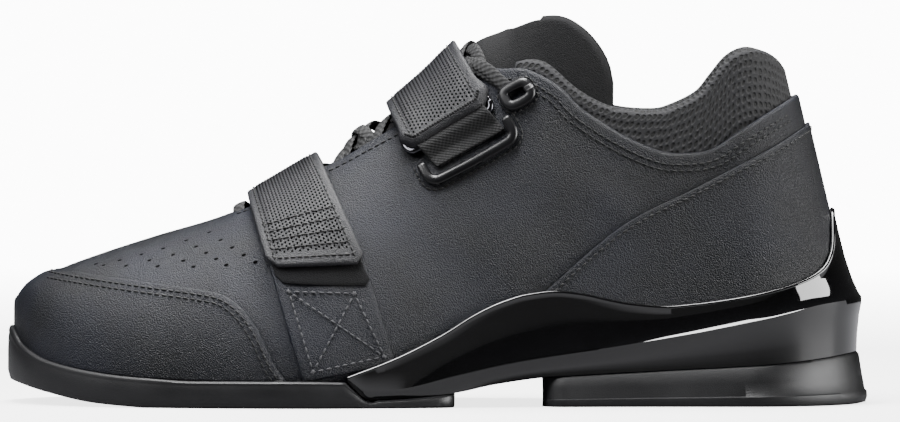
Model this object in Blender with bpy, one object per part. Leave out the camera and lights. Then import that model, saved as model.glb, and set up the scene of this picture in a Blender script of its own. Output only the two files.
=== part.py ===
"""A left weightlifting shoe with a raised heel and two straps, standing empty on its sole.

The toe points to -X, the outer (lateral) side faces -Y and +Z is up. The origin is on the floor,
half way along the shoe, on the line through the middle of the heel. Units are metres.
"""

import math
from collections import namedtuple

import bmesh
import bpy
from mathutils import Vector

# Driving dimensions
LENGTH = 0.302  # toe tip of the sole to the back of the heel
HEIGHT = 0.137  # floor to the top of the tongue
BALL_WIDTH = 0.100  # upper at the ball of the foot
WALL = 0.0024  # upper, leather with its lining
OVERLAY = 0.0012  # toe cap, heel counter and strap base
STRAP = 0.0022
COLLAR_PAD = 0.0050
TONGUE_PAD = 0.0045
INSOLE = 0.0040
TAB = 0.0014  # webbing that holds the ring
LACE_RADIUS = 0.0015
RING_RADIUS = 0.0013
MOULDING_RADIUS = 0.0012  # slot frame and eyelets
CLEARANCE = 0.0003
OVER_LACE = 0.0007  # how far the straps arch up over the crossed lace
SOLE_REACH = 0.0036  # how far the sole stands out past the upper
RIM_REACH = 0.0024  # the same, at the top edge of the heel cup
RIDGE_REACH = 0.0054  # and at its ridge
HEEL_REACH = 0.0068  # and at the foot of the heel
BACK_LEAN = 0.236  # forward lean of the heel's back line, for each metre up
LATERAL, MEDIAL = -1, 1

# Where the last begins and ends, and how much of each end is rounded, as shares of LENGTH
TOE_AT, HEEL_AT = 0.012, 0.975
TOE_ROUND, HEEL_ROUND = 0.17, 0.12
CUP_AT = 0.396  # where the glossy heel cup begins
LEAN_AT = 0.78  # where the back starts to lean

# Sections of the last. at is a share of LENGTH; centre, half and ridge are shares of BALL_WIDTH;
# feather, where the upper meets the sole, and crown are shares of HEIGHT.
Section = namedtuple("Section", "at centre half feather crown ridge square")
LAST = (
    Section(0.012, 0.100, 0.425, 0.190, 0.256, 0.00, 2.3),
    Section(0.026, 0.098, 0.430, 0.140, 0.296, 0.00, 2.3),
    Section(0.055, 0.095, 0.440, 0.112, 0.334, 0.00, 2.3),
    Section(0.110, 0.085, 0.460, 0.088, 0.380, 0.01, 2.3),
    Section(0.170, 0.065, 0.482, 0.075, 0.423, 0.02, 2.2),
    Section(0.258, 0.025, 0.500, 0.069, 0.483, 0.03, 2.1),
    Section(0.340, -0.005, 0.492, 0.069, 0.580, 0.04, 2.0),
    Section(0.400, -0.020, 0.465, 0.072, 0.664, 0.04, 1.9),
    Section(0.490, -0.030, 0.405, 0.104, 0.820, 0.04, 1.9),
    Section(0.560, -0.028, 0.365, 0.146, 0.985, 0.03, 2.0),
    Section(0.640, -0.015, 0.345, 0.184, 1.190, 0.01, 2.1),
    Section(0.760, 0.000, 0.335, 0.223, 1.300, 0.00, 2.2),
    Section(0.880, 0.000, 0.330, 0.247, 1.300, 0.00, 2.2),
    Section(0.975, 0.000, 0.320, 0.250, 1.250, 0.00, 2.2),
)

# Side lines, seen from the lateral side: at is a share of LENGTH, up a share of HEIGHT
Spot = namedtuple("Spot", "at up")
COLLAR_EDGE = (  # top edge of the leather, from the top eyelet to the heel
    Spot(0.545, 0.870), Spot(0.566, 0.850), Spot(0.600, 0.848), Spot(0.638, 0.804),
    Spot(0.662, 0.751), Spot(0.709, 0.684), Spot(0.753, 0.641), Spot(0.783, 0.634),
    Spot(0.815, 0.644), Spot(0.844, 0.684), Spot(0.874, 0.725), Spot(0.919, 0.781),
    Spot(0.965, 0.832),
)  # fmt: skip
COLLAR_RIM = (  # top of the padding
    Spot(0.590, 0.872), Spot(0.618, 0.863), Spot(0.658, 0.791), Spot(0.699, 0.746),
    Spot(0.748, 0.735), Spot(0.774, 0.748), Spot(0.805, 0.784), Spot(0.823, 0.832),
    Spot(0.841, 0.878), Spot(0.865, 0.896), Spot(0.889, 0.888), Spot(0.908, 0.858),
    Spot(0.930, 0.800),
)  # fmt: skip
COLLAR_FOOT = (  # hidden lower edge of the padding
    Spot(0.960, 0.620), Spot(0.874, 0.560), Spot(0.783, 0.500), Spot(0.690, 0.560),
    Spot(0.610, 0.690),
)  # fmt: skip
TONGUE_TOP = (
    Spot(0.500, 0.960), Spot(0.545, 0.985), Spot(0.577, 0.992), Spot(0.606, 1.000),
    Spot(0.640, 0.990), Spot(0.669, 0.941), Spot(0.690, 0.865), Spot(0.697, 0.763),
    Spot(0.688, 0.680),
)  # fmt: skip
TONGUE_FOOT = (
    Spot(0.600, 0.640), Spot(0.500, 0.640), Spot(0.400, 0.520), Spot(0.300, 0.420),
    Spot(0.240, 0.380), Spot(0.240, 0.600),
)  # fmt: skip
TOE_CAP_EDGE = (
    Spot(0.053, 0.336), Spot(0.110, 0.321), Spot(0.168, 0.306), Spot(0.226, 0.291),
    Spot(0.255, 0.277), Spot(0.278, 0.240), Spot(0.297, 0.180), Spot(0.312, 0.110),
    Spot(0.325, 0.040),
)  # fmt: skip
COUNTER_EDGE = (
    Spot(0.614, 0.300), Spot(0.709, 0.450), Spot(0.798, 0.552), Spot(0.874, 0.640),
    Spot(0.931, 0.712), Spot(0.990, 0.760),
)  # fmt: skip
CUP_TOP = (
    Spot(0.396, 0.074), Spot(0.450, 0.120), Spot(0.501, 0.176), Spot(0.543, 0.232),
    Spot(0.573, 0.262), Spot(0.601, 0.280), Spot(0.635, 0.288), Spot(0.665, 0.281),
    Spot(0.694, 0.267), Spot(0.724, 0.255), Spot(0.760, 0.249), Spot(0.795, 0.255),
    Spot(0.836, 0.267), Spot(0.878, 0.285), Spot(0.919, 0.312), Spot(0.945, 0.342),
    Spot(0.960, 0.384), Spot(0.975, 0.491),
)  # fmt: skip
CUP_RIDGE = (
    Spot(0.396, 0.071), Spot(0.420, 0.038), Spot(0.450, 0.040), Spot(0.522, 0.078),
    Spot(0.585, 0.109), Spot(0.648, 0.132), Spot(0.711, 0.153), Spot(0.744, 0.165),
    Spot(0.816, 0.193), Spot(0.878, 0.221), Spot(0.932, 0.255), Spot(0.975, 0.268),
)  # fmt: skip
CUP_FOOT = (
    Spot(0.396, 0.065), Spot(0.422, 0.022), Spot(0.514, 0.036), Spot(0.565, 0.058),
    Spot(0.622, 0.075), Spot(0.752, 0.092), Spot(0.878, 0.107), Spot(0.932, 0.120),
    Spot(0.975, 0.134),
)  # fmt: skip
OUTSOLE_TOP = (
    Spot(0.012, 0.196), Spot(0.026, 0.150), Spot(0.055, 0.114), Spot(0.110, 0.088),
    Spot(0.157, 0.077), Spot(0.226, 0.069), Spot(0.340, 0.069), Spot(0.392, 0.067),
)  # fmt: skip
OUTSOLE_FOOT = (
    Spot(0.012, 0.060), Spot(0.055, 0.034), Spot(0.110, 0.010), Spot(0.165, 0.000),
)

# Straps and patches: corners of their side view, from the lower toe corner round
FOREFOOT_STRAP = (Spot(0.309, 0.349), Spot(0.416, 0.362), Spot(0.335, 0.760), Spot(0.262, 0.700))
FOREFOOT_STRAP_MEDIAL = (Spot(0.340, 0.110), Spot(0.447, 0.165), Spot(0.335, 0.760), Spot(0.262, 0.700))
INSTEP_STRAP = (Spot(0.470, 0.645), Spot(0.559, 0.770), Spot(0.488, 1.060), Spot(0.414, 0.920))
INSTEP_STRAP_MEDIAL = (Spot(0.535, 0.320), Spot(0.640, 0.420), Spot(0.488, 1.060), Spot(0.414, 0.920))
STRAP_BASE = (Spot(0.347, 0.069), Spot(0.449, 0.115), Spot(0.407, 0.420), Spot(0.300, 0.420))
RING_TAB = (Spot(0.504, 0.612), Spot(0.576, 0.690), Spot(0.568, 0.738), Spot(0.480, 0.612))

# The throat, seen from above: half its width in shares of BALL_WIDTH
Gap = namedtuple("Gap", "at half")
THROAT = (Gap(0.262, 0.045), Gap(0.275, 0.080), Gap(0.340, 0.105), Gap(0.440, 0.135), Gap(0.560, 0.190), Gap(0.700, 0.300))
LACE_ROWS = (0.285, 0.330, 0.375, 0.420, 0.465, 0.510, 0.550)

# Ring, slot frame and top eyelet on the side: middle, half length and half width in shares of LENGTH
RING_AT, RING_HALF, RING_WIDE = Spot(0.512, 0.712), 0.0545, 0.0110
SLOT_AT, SLOT_HALF, SLOT_WIDE = Spot(0.534, 0.652), 0.0560, 0.0175
EYELET_AT, EYELET_HALF, EYELET_WIDE = Spot(0.592, 0.788), 0.0150, 0.0100
SLOT_RISE = math.radians(29)  # the ring, the slot and the eyelet climb towards the heel

LAST_STATIONS, ARCH_STEPS = 34, 20
SOLE_STATIONS = 36
END_STATION, END_STATIONS_PER_METRE = 0.012, 8
CUTTER_MARGIN = 0.03


def smooth(rows, column, at):
    """Reads a table's column at a share of the length, on a curve that never overshoots its rows."""
    xs = [row.at for row in rows]
    ys = [getattr(row, column) for row in rows]
    if at <= xs[0]:
        return ys[0]
    if at >= xs[-1]:
        return ys[-1]
    k = max(i for i in range(len(xs) - 1) if xs[i] <= at)
    slopes = [(ys[i + 1] - ys[i]) / (xs[i + 1] - xs[i]) for i in range(len(xs) - 1)]

    def tangent(i):
        if i == 0 or i == len(xs) - 1:
            return slopes[0] if i == 0 else slopes[-1]
        before, after = slopes[i - 1], slopes[i]
        return 0 if before * after <= 0 else 2 * before * after / (before + after)

    width = xs[k + 1] - xs[k]
    t = (at - xs[k]) / width
    return (
        ys[k] * (1 + 2 * t) * (1 - t) ** 2
        + width * tangent(k) * t * (1 - t) ** 2
        + ys[k + 1] * t * t * (3 - 2 * t)
        - width * tangent(k + 1) * t * t * (1 - t)
    )


def curve_through(spots, steps):
    """A smooth line through side-view spots, as (x, z) in metres."""
    points = [Vector(((s.at - 0.5) * LENGTH, s.up * HEIGHT)) for s in spots]
    line = []
    for i in range(len(points) - 1):
        a, b, c, d = (points[min(max(j, 0), len(points) - 1)] for j in (i - 1, i, i + 1, i + 2))
        for step in range(steps):
            t = step / steps
            line.append(
                0.5 * (2 * b + (c - a) * t + (2 * a - 5 * b + 4 * c - d) * t**2 + (3 * b - a - 3 * c + d) * t**3)
            )
    return line + [points[-1]]


def share_at(t):
    """The share of the length at t, which runs evenly from 0 to 1 and crowds the stations at both ends."""
    return TOE_AT + (HEEL_AT - TOE_AT) * (1 - math.cos(math.pi * t)) / 2


def t_at(at):
    share = (at - TOE_AT) / (HEEL_AT - TOE_AT)
    return math.acos(1 - 2 * min(max(share, 0), 1)) / math.pi


def half_width(at):
    toe = min(1, (at - TOE_AT) / TOE_ROUND)
    heel = min(1, (HEEL_AT - at) / HEEL_ROUND)
    rounding = (1 - (1 - toe) ** 2.2) ** 0.5 * (1 - (1 - heel) ** 2.2) ** 0.5
    return smooth(LAST, "half", at) * BALL_WIDTH * rounding


def outline(t, side):
    """A point of the last's outline, from above."""
    at = share_at(t)
    return Vector(((at - 0.5) * LENGTH, smooth(LAST, "centre", at) * BALL_WIDTH + side * half_width(at)))


def outline_out(t, side):
    """The direction that points out of the outline."""
    step = 0.004
    if t < step or t > 1 - step:
        return Vector((-1, 0)) if t < 0.5 else Vector((1, 0))
    along = (outline(t + step, side) - outline(t - step, side)).normalized()
    return Vector((-along.y, along.x)) * side


def lean_at(at):
    """How far the sections lean forward, for each metre up."""
    return BACK_LEAN * min(1, max(0, (at - LEAN_AT) / (HEEL_AT - LEAN_AT))) ** 1.5


def on_last(t, angle):
    """A point of the last's surface: angle runs from 0, the lateral feather edge, over the top to pi."""
    at = share_at(t)
    power = 2 / smooth(LAST, "square", at)
    across, over = math.cos(angle), max(0.0, math.sin(angle))
    feather, crown = smooth(LAST, "feather", at) * HEIGHT, smooth(LAST, "crown", at) * HEIGHT
    centre = (smooth(LAST, "centre", at) + smooth(LAST, "ridge", at) * over**2) * BALL_WIDTH
    y = centre - math.copysign(abs(across) ** power, across) * half_width(at)
    rise = (crown - feather) * over**power
    return Vector(((at - 0.5) * LENGTH - lean_at(at) * rise, y, feather + rise))


def out_of_last(t, angle):
    """The surface's outward direction there."""
    t = min(max(t, 0.03), 0.97)
    step = 0.01
    angle = min(max(angle, step), math.pi - step)
    along = on_last(t + step, angle) - on_last(t - step, angle)
    over = on_last(t, angle + step) - on_last(t, angle - step)
    return along.cross(over).normalized()


def side_point(spot, side, offset):
    """The point of the last's side that shows at a spot of the side view."""
    t = t_at(spot.at)
    feather, crown = smooth(LAST, "feather", spot.at), smooth(LAST, "crown", spot.at)
    over = min(1, max(0, (spot.up - feather) / (crown - feather)))
    angle = math.asin(over ** (smooth(LAST, "square", spot.at) / 2))
    angle = angle if side == LATERAL else math.pi - angle
    return on_last(t, angle) + out_of_last(t, angle) * offset


def top_point(at, y, offset):
    """The point of the last's top at a distance y from the crown line."""
    t = t_at(at)
    across = -y / half_width(at)
    angle = math.acos(math.copysign(abs(across) ** (smooth(LAST, "square", at) / 2), across))
    return on_last(t, angle) + out_of_last(t, angle) * offset


def make_collection(name):
    collection = bpy.data.collections.new(name)
    bpy.context.scene.collection.children.link(collection)
    return collection


def material(name, colour, roughness, metallic=0.0):
    found = bpy.data.materials.new(name)
    found.use_nodes = True
    shader = found.node_tree.nodes["Principled BSDF"]
    shader.inputs["Base Color"].default_value = (*colour, 1)
    shader.inputs["Roughness"].default_value = roughness
    shader.inputs["Metallic"].default_value = metallic
    return found


def from_bmesh(name, mesh_maker, collection, finish=None):
    if mesh_maker.calc_volume(signed=True) < 0:
        bmesh.ops.reverse_faces(mesh_maker, faces=mesh_maker.faces)
    mesh = bpy.data.meshes.new(name)
    mesh_maker.to_mesh(mesh)
    mesh_maker.free()
    made = bpy.data.objects.new(name, mesh)
    collection.objects.link(made)
    if finish:
        mesh.materials.append(finish)
        mesh.shade_smooth()
        mesh.set_sharp_from_angle(angle=math.radians(35))
    return made


def loft(name, rings, collection, finish=None):
    """A closed solid through rings of as many points each, with both ends filled."""
    maker = bmesh.new()
    rows = [[maker.verts.new(point) for point in ring] for ring in rings]
    for a, b in zip(rows, rows[1:]):
        for i in range(len(a)):
            j = (i + 1) % len(a)
            maker.faces.new((a[i], a[j], b[j]))
            maker.faces.new((a[i], b[j], b[i]))
    for end in (rows[0][::-1], rows[-1]):
        count = len(end)
        for i in range((count - 1) // 2):
            corners = [end[i], end[i + 1], end[count - 2 - i], end[count - 1 - i]]
            maker.faces.new(corners if corners[1] is not corners[2] else corners[:2] + corners[3:])
    return from_bmesh(name, maker, collection, finish)


def last_form(name, offset, drop, collection, finish=None):
    """The closed last, offset outwards by a distance or by offset(t, angle), and dropped below the feather."""
    amount = offset if callable(offset) else (lambda t, angle: offset)
    # an inner form stops short of both ends, where its sides would cross
    end = END_STATION + END_STATIONS_PER_METRE * max(0, -amount(0.9, math.pi / 2))
    apart = (1 - 2 * END_STATION) / LAST_STATIONS
    stations = [END_STATION + apart * i for i in range(LAST_STATIONS + 1)]
    inner = [t for t in stations if end + apart / 4 < t < 1 - end - apart / 4]
    rings = []
    for t in [end] + inner + [1 - end]:
        ring = []
        for j in range(ARCH_STEPS + 1):
            angle = math.pi * j / ARCH_STEPS
            ring.append(on_last(t, angle) + out_of_last(t, angle) * amount(t, angle))
        ring[0].z = ring[-1].z = smooth(LAST, "feather", share_at(t)) * HEIGHT
        if drop:
            below = Vector((0, 0, -drop))
            ring = [ring[0] + below] + ring + [ring[-1] + below]
        rings.append(ring)
    return loft(name, rings, collection, finish)


def sole_form(name, first, last, levels, collection, finish):
    """A layer of the sole between two shares of the length.

    levels are (reach, height) from the bottom up, each a function of the share of the length.
    """
    start, end = max(t_at(first), END_STATION), min(t_at(last), 1 - END_STATION)
    even = {i / SOLE_STATIONS for i in range(SOLE_STATIONS + 1)}
    corners = {t_at(row.at) for row in CUP_FOOT}
    even = {t for t in even if all(abs(t - corner) > 0.4 / SOLE_STATIONS for corner in corners)}
    inner = [t for t in sorted(even | corners) if start + 0.002 < t < end - 0.002]
    rings = []
    for t in [start] + inner + [end]:
        at = share_at(t)
        sides = {}
        for side in (LATERAL, MEDIAL):
            foot = outline(t, side)
            out = outline_out(t, side)
            sides[side] = [Vector((*(foot + out * reach(at)), height(at))) for reach, height in levels]
            for point in sides[side]:
                point.x -= lean_at(at) * max(0, point.z - smooth(LAST, "feather", at) * HEIGHT)
        rings.append(sides[LATERAL] + sides[MEDIAL][::-1])
    return loft(name, rings, collection, finish)


def prism(name, outline_points, low, high, across, collection):
    """A cutter: a side view (across Y) or a top view (across Z) drawn out between low and high."""
    maker = bmesh.new()
    rows = []
    for end in (low, high):
        place = (lambda p: (p[0], end, p[1])) if across == "y" else (lambda p: (p[0], p[1], end))
        rows.append([maker.verts.new(place(p)) for p in outline_points])
    maker.faces.new(rows[0][::-1])
    maker.faces.new(rows[1])
    for i in range(len(outline_points)):
        j = (i + 1) % len(outline_points)
        maker.faces.new((rows[0][i], rows[0][j], rows[1][j], rows[1][i]))
    bmesh.ops.triangulate(maker, faces=[f for f in maker.faces if len(f.verts) > 4])
    return from_bmesh(name, maker, collection)


def combine(target, cutter, operation):
    cutter.hide_render = True
    cutter.display_type = "WIRE"
    modifier = target.modifiers.new(operation.title() + " " + cutter.name, "BOOLEAN")
    modifier.operation = operation
    modifier.solver = "EXACT"
    modifier.object = cutter
    return target


def spots(corners):
    return [Vector(((s.at - 0.5) * LENGTH, s.up * HEIGHT)) for s in corners]


def side_cutter(name, points, side, cutters):
    """A side-view prism right across the shoe, or on one side of it."""
    low = -BALL_WIDTH if side != MEDIAL else -CUTTER_MARGIN / 10
    high = BALL_WIDTH if side != LATERAL else CUTTER_MARGIN / 10
    return prism(name, points, low, high, "y", cutters)


def shell(name, outer, inner, region, collection, cutters, finish):
    """The part of the upper's own form between two offsets that lies inside a region."""
    made = last_form(name, outer, 0, collection, finish)
    combine(made, last_form(name + "_core", inner, CUTTER_MARGIN, cutters), "DIFFERENCE")
    return combine(made, region, "INTERSECT")


def make_upper(parts, cutters, finish):
    upper = last_form("upper", 0.0, 0, parts, finish)
    combine(upper, last_form("upper_core", -WALL, CUTTER_MARGIN, cutters), "DIFFERENCE")
    edge = curve_through(COLLAR_EDGE, 3)
    above = HEIGHT + 2 * CUTTER_MARGIN
    collar = [Vector((edge[0].x - CUTTER_MARGIN, above))] + edge + [Vector((LENGTH / 2, above))]
    combine(upper, side_cutter("collar_cutter", collar, None, cutters), "DIFFERENCE")
    rows = [(gap.at, gap.half) for gap in THROAT]
    middle = lambda at: (smooth(LAST, "centre", at) + smooth(LAST, "ridge", at)) * BALL_WIDTH
    sides = [
        [Vector(((at - 0.5) * LENGTH, middle(at) + side * half * BALL_WIDTH)) for at, half in rows]
        for side in (LATERAL, MEDIAL)
    ]
    throat = prism("throat_cutter", sides[0] + sides[1][::-1], 0.3 * HEIGHT, above, "z", cutters)
    return combine(upper, throat, "DIFFERENCE")


def make_overlays(parts, cutters, finish):
    inner, outer = CLEARANCE, CLEARANCE + OVERLAY
    low = -CUTTER_MARGIN
    edge = curve_through(TOE_CAP_EDGE, 3)
    region = [Vector((-LENGTH * 0.6, edge[0].y + 0.001))] + edge + [Vector((edge[-1].x, low)), Vector((-LENGTH * 0.6, low))]
    shell("toe_cap", outer, inner, side_cutter("toe_cap_region", region, None, cutters), parts, cutters, finish)
    edge = curve_through(COUNTER_EDGE, 3)
    region = edge + [Vector((LENGTH * 0.6, edge[-1].y)), Vector((LENGTH * 0.6, low)), Vector((edge[0].x, low))]
    shell("counter", outer, inner, side_cutter("counter_region", region, None, cutters), parts, cutters, finish)
    region = side_cutter("strap_base_region", spots(STRAP_BASE), LATERAL, cutters)
    shell("strap_base", outer, inner, region, parts, cutters, finish)


def make_straps(parts, cutters, finish, webbing):
    seat = 2 * CLEARANCE + OVERLAY  # the strap lies on its base, and on the medial side on the upper

    def strap_offset(lateral_seat, extra):
        def amount(t, angle):
            medial = min(1, max(0, (angle - 0.62 * math.pi) / (0.25 * math.pi)))
            lateral = min(1, max(0, (0.46 * math.pi - angle) / (0.15 * math.pi)))
            throat = max(0, 1 - ((angle / math.pi - 0.5) / 0.2) ** 2)
            top = seat + OVER_LACE * throat + (lateral_seat - seat) * lateral
            return top + (CLEARANCE - top) * medial + extra

        return amount

    over_ring = 2 * RING_RADIUS + 4 * CLEARANCE
    for name, lateral, medial, lateral_seat in (
        ("strap_forefoot", FOREFOOT_STRAP, FOREFOOT_STRAP_MEDIAL, seat),
        ("strap_instep", INSTEP_STRAP, INSTEP_STRAP_MEDIAL, over_ring),
    ):
        region = side_cutter(name + "_region", spots(lateral), LATERAL, cutters)
        combine(region, side_cutter(name + "_medial_region", spots(medial), MEDIAL, cutters), "UNION")
        shell(name, strap_offset(lateral_seat, STRAP), strap_offset(lateral_seat, 0), region, parts, cutters, finish)
    region = side_cutter("ring_tab_region", spots(RING_TAB), LATERAL, cutters)
    shell("ring_tab", CLEARANCE + TAB, CLEARANCE, region, parts, cutters, webbing)


def tube(name, points, radius, cyclic, collection, finish, resolution=2):
    data = bpy.data.curves.new(name, "CURVE")
    data.dimensions = "3D"
    data.bevel_depth = radius
    data.bevel_resolution = resolution
    data.use_fill_caps = not cyclic
    spline = data.splines.new("POLY")
    spline.points.add(len(points) - 1)
    for point, place in zip(spline.points, points):
        point.co = (*place, 1)
    spline.use_cyclic_u = cyclic
    made = bpy.data.objects.new(name, data)
    collection.objects.link(made)
    data.materials.append(finish)
    return made


def side_loop(middle, half, wide, side, offset, turn=(0, 2 * math.pi), steps=28):
    """A rounded slot's outline laid on the side of the last."""
    points = []
    for i in range(steps):
        angle = turn[0] + (turn[1] - turn[0]) * i / (steps - (turn[1] - turn[0] < 2 * math.pi - 0.01))
        along = (half - wide) * min(1, max(-1, 2.2 * math.cos(angle))) + wide * math.cos(angle)
        over = wide * math.copysign(min(1, abs(math.sin(angle)) ** 0.6), math.sin(angle))
        x = along * math.cos(SLOT_RISE) - over * math.sin(SLOT_RISE)
        z = along * math.sin(SLOT_RISE) + over * math.cos(SLOT_RISE)
        spot = Spot(middle.at + x, middle.up + z * LENGTH / HEIGHT)
        points.append(side_point(spot, side, offset))
    return points


def make_hardware(parts, steel, moulding):
    ring = side_loop(RING_AT, RING_HALF, RING_WIDE, LATERAL, CLEARANCE + RING_RADIUS)
    tube("strap_ring", ring, RING_RADIUS, True, parts, steel)
    seat = CLEARANCE + MOULDING_RADIUS
    lower_half = (math.radians(170), math.radians(372))
    frame = side_loop(SLOT_AT, SLOT_HALF, SLOT_WIDE, LATERAL, seat, lower_half, 24)
    tube("slot_frame", frame, MOULDING_RADIUS, False, parts, moulding)
    for name, side in (("eyelet_lateral", LATERAL), ("eyelet_medial", MEDIAL)):
        loop = side_loop(EYELET_AT, EYELET_HALF, EYELET_WIDE, side, seat, steps=20)
        tube(name, loop, MOULDING_RADIUS, True, parts, moulding)


def as_mesh(tube_object):
    """The same tube as a closed mesh."""
    mesh = bpy.data.meshes.new_from_object(tube_object.evaluated_get(bpy.context.evaluated_depsgraph_get()))
    maker = bmesh.new()
    maker.from_mesh(mesh)
    bmesh.ops.remove_doubles(maker, verts=maker.verts, dist=0.00001)
    bmesh.ops.recalc_face_normals(maker, faces=maker.faces)
    maker.to_mesh(mesh)
    maker.free()
    made = bpy.data.objects.new(tube_object.name, mesh)
    tube_object.users_collection[0].objects.link(made)
    name = tube_object.name
    bpy.data.objects.remove(tube_object)
    made.name = name
    return made


def make_lace(parts, cutters, finish):
    """Two strands that cross over the tongue, between the edges of the throat."""
    strands = []
    for k, name in enumerate(("lace", "lace_strand")):
        points = []
        for i, at in enumerate(LACE_ROWS):
            side = LATERAL if (i + k) % 2 else MEDIAL
            reach = smooth(THROAT, "half", at) * BALL_WIDTH - LACE_RADIUS - 2 * CLEARANCE
            points.append((at, side * reach))
        route = []
        for (at, y), (next_at, next_y) in zip(points, points[1:]):
            for step in range(4):
                share = step / 4
                over = LACE_RADIUS * (0.25 if (k + len(route) // 4) % 2 else -0.25) * math.sin(math.pi * share)
                height = LACE_RADIUS + CLEARANCE - WALL + over
                route.append(top_point(at + (next_at - at) * share, y + (next_y - y) * share, height))
        route.append(top_point(*points[-1], LACE_RADIUS + CLEARANCE - WALL))
        strands.append(as_mesh(tube(name, route, LACE_RADIUS, False, parts, finish)))
    lace, strand = strands
    strand.users_collection[0].objects.unlink(strand)
    cutters.objects.link(strand)
    return combine(lace, strand, "UNION")


def make_lining(parts, cutters, mesh_cloth, suede):
    inside = WALL + CLEARANCE
    rim = curve_through(COLLAR_RIM, 3)
    region = rim + spots(COLLAR_FOOT)
    region = side_cutter("collar_region", region, None, cutters)
    shell("collar", -inside, -inside - COLLAR_PAD, region, parts, cutters, mesh_cloth)

    def under(extra):
        def amount(t, angle):
            past = min(1, max(0, (share_at(t) - 0.535) / 0.035))
            return -inside - (COLLAR_PAD + CLEARANCE) * past * past * (3 - 2 * past) - extra

        return amount

    region = side_cutter("tongue_region", curve_through(TONGUE_TOP, 2) + spots(TONGUE_FOOT), None, cutters)
    shell("tongue", under(0), under(TONGUE_PAD), region, parts, cutters, suede)


def make_sole(parts, cutters, rubber, gloss, foam):
    line = lambda table, lift=0.0: lambda at: smooth(table, "up", at) * HEIGHT + lift
    fixed = lambda value: lambda at: value
    feather = lambda lift: lambda at: smooth(LAST, "feather", at) * HEIGHT + lift

    def under_cup(at):
        if at < CUP_AT - 0.001:
            return line(OUTSOLE_TOP)(at)
        gap = CLEARANCE if at > CUP_AT + 0.03 else 3 * CLEARANCE  # wider where the cup dives into the rubber
        return line(CUP_FOOT, -gap)(at)

    bed = last_form("foot_bed", 2 * CLEARANCE + OVERLAY, CLEARANCE, cutters)
    toe_reach = lambda at: SOLE_REACH
    front = sole_form(
        "outsole_forefoot", TOE_AT, 0.522,
        [
            (lambda at: SOLE_REACH - 0.0012, line(OUTSOLE_FOOT)),
            (toe_reach, lambda at: line(OUTSOLE_FOOT)(at) + 0.0018),
            (toe_reach, under_cup),
        ],
        parts, rubber,
    )  # fmt: skip
    combine(front, bed, "DIFFERENCE")
    back = lambda low, high: lambda at: low + (high - low) * min(1, max(0, (at - 0.45) / 0.50))
    cup = sole_form(
        "heel_cup", CUP_AT, HEEL_AT,
        [
            (back(0.0010, 0.0030), line(CUP_FOOT)),
            (back(0.0020, RIDGE_REACH), line(CUP_RIDGE, 0.0004)),
            (back(RIM_REACH, RIM_REACH + 0.0006), line(CUP_TOP, 0.0008)),
        ],
        parts, gloss,
    )  # fmt: skip
    combine(cup, bed, "DIFFERENCE")
    sole_form(
        "outsole_heel", 0.622, HEEL_AT,
        [
            (back(0.0020, HEEL_REACH - 0.0008), fixed(0)),
            (back(0.0028, HEEL_REACH), fixed(0.0030)),
            (back(0.0010, 0.0034), line(CUP_FOOT, -CLEARANCE)),
        ],
        parts, rubber,
    )  # fmt: skip
    inside = -(WALL + INSOLE / 2)  # the upper's wall leans in over the insole's edge
    sole_form(
        "insole", TOE_AT + 0.035, HEEL_AT - 0.012,
        [(fixed(inside), feather(0)), (fixed(inside), feather(INSOLE))],
        parts, foam,
    )  # fmt: skip


def main():
    for found in list(bpy.data.objects):
        bpy.data.objects.remove(found)
    parts, cutters = make_collection("weightlifting_shoe"), make_collection("cutters")
    leather = material("leather", (0.035, 0.036, 0.042), 0.45)
    strap = material("strap", (0.040, 0.040, 0.045), 0.60)
    webbing = material("webbing", (0.012, 0.012, 0.013), 0.85)
    suede = material("tongue_suede", (0.016, 0.016, 0.018), 0.90)
    mesh_cloth = material("collar_mesh", (0.022, 0.022, 0.024), 0.90)
    rubber = material("rubber", (0.020, 0.020, 0.023), 0.55)
    gloss = material("gloss_shell", (0.008, 0.008, 0.010), 0.08)
    moulding = material("moulding", (0.015, 0.015, 0.017), 0.40)
    steel = material("dark_steel", (0.30, 0.30, 0.33), 0.15, 1.0)
    foam = material("foam", (0.030, 0.030, 0.032), 0.95)
    make_sole(parts, cutters, rubber, gloss, foam)
    make_upper(parts, cutters, leather)
    make_overlays(parts, cutters, leather)
    make_straps(parts, cutters, strap, webbing)
    make_hardware(parts, steel, moulding)
    make_lace(parts, cutters, webbing)
    make_lining(parts, cutters, mesh_cloth, suede)


main()
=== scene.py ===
"""Looks of a left weightlifting shoe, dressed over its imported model.

The toe points to -X, the outer (lateral) side faces -Y and +Z is up. Lengths are metres. Side-view
places are shares of the shoe's own length and height, as in the part's source.
"""

from __future__ import annotations

import logging
import math
from collections.abc import Callable, Sequence
from dataclasses import dataclass
from enum import Enum

import bpy
import numpy as np
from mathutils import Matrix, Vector


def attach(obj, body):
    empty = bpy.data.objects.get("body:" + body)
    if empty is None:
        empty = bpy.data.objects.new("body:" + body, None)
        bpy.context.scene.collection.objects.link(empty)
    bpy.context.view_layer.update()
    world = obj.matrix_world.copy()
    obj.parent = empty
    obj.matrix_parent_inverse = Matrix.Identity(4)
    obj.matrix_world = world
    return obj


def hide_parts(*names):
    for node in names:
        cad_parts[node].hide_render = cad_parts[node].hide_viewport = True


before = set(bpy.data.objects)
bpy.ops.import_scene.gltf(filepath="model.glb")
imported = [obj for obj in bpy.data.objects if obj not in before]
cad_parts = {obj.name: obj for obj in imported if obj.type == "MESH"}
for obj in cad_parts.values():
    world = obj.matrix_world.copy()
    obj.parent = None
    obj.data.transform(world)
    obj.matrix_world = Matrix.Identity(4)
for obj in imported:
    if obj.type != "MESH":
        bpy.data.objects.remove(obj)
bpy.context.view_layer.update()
LOG = logging.getLogger("lifting_shoe")
Array = np.ndarray
Line = Sequence[tuple[float, float]]

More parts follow.
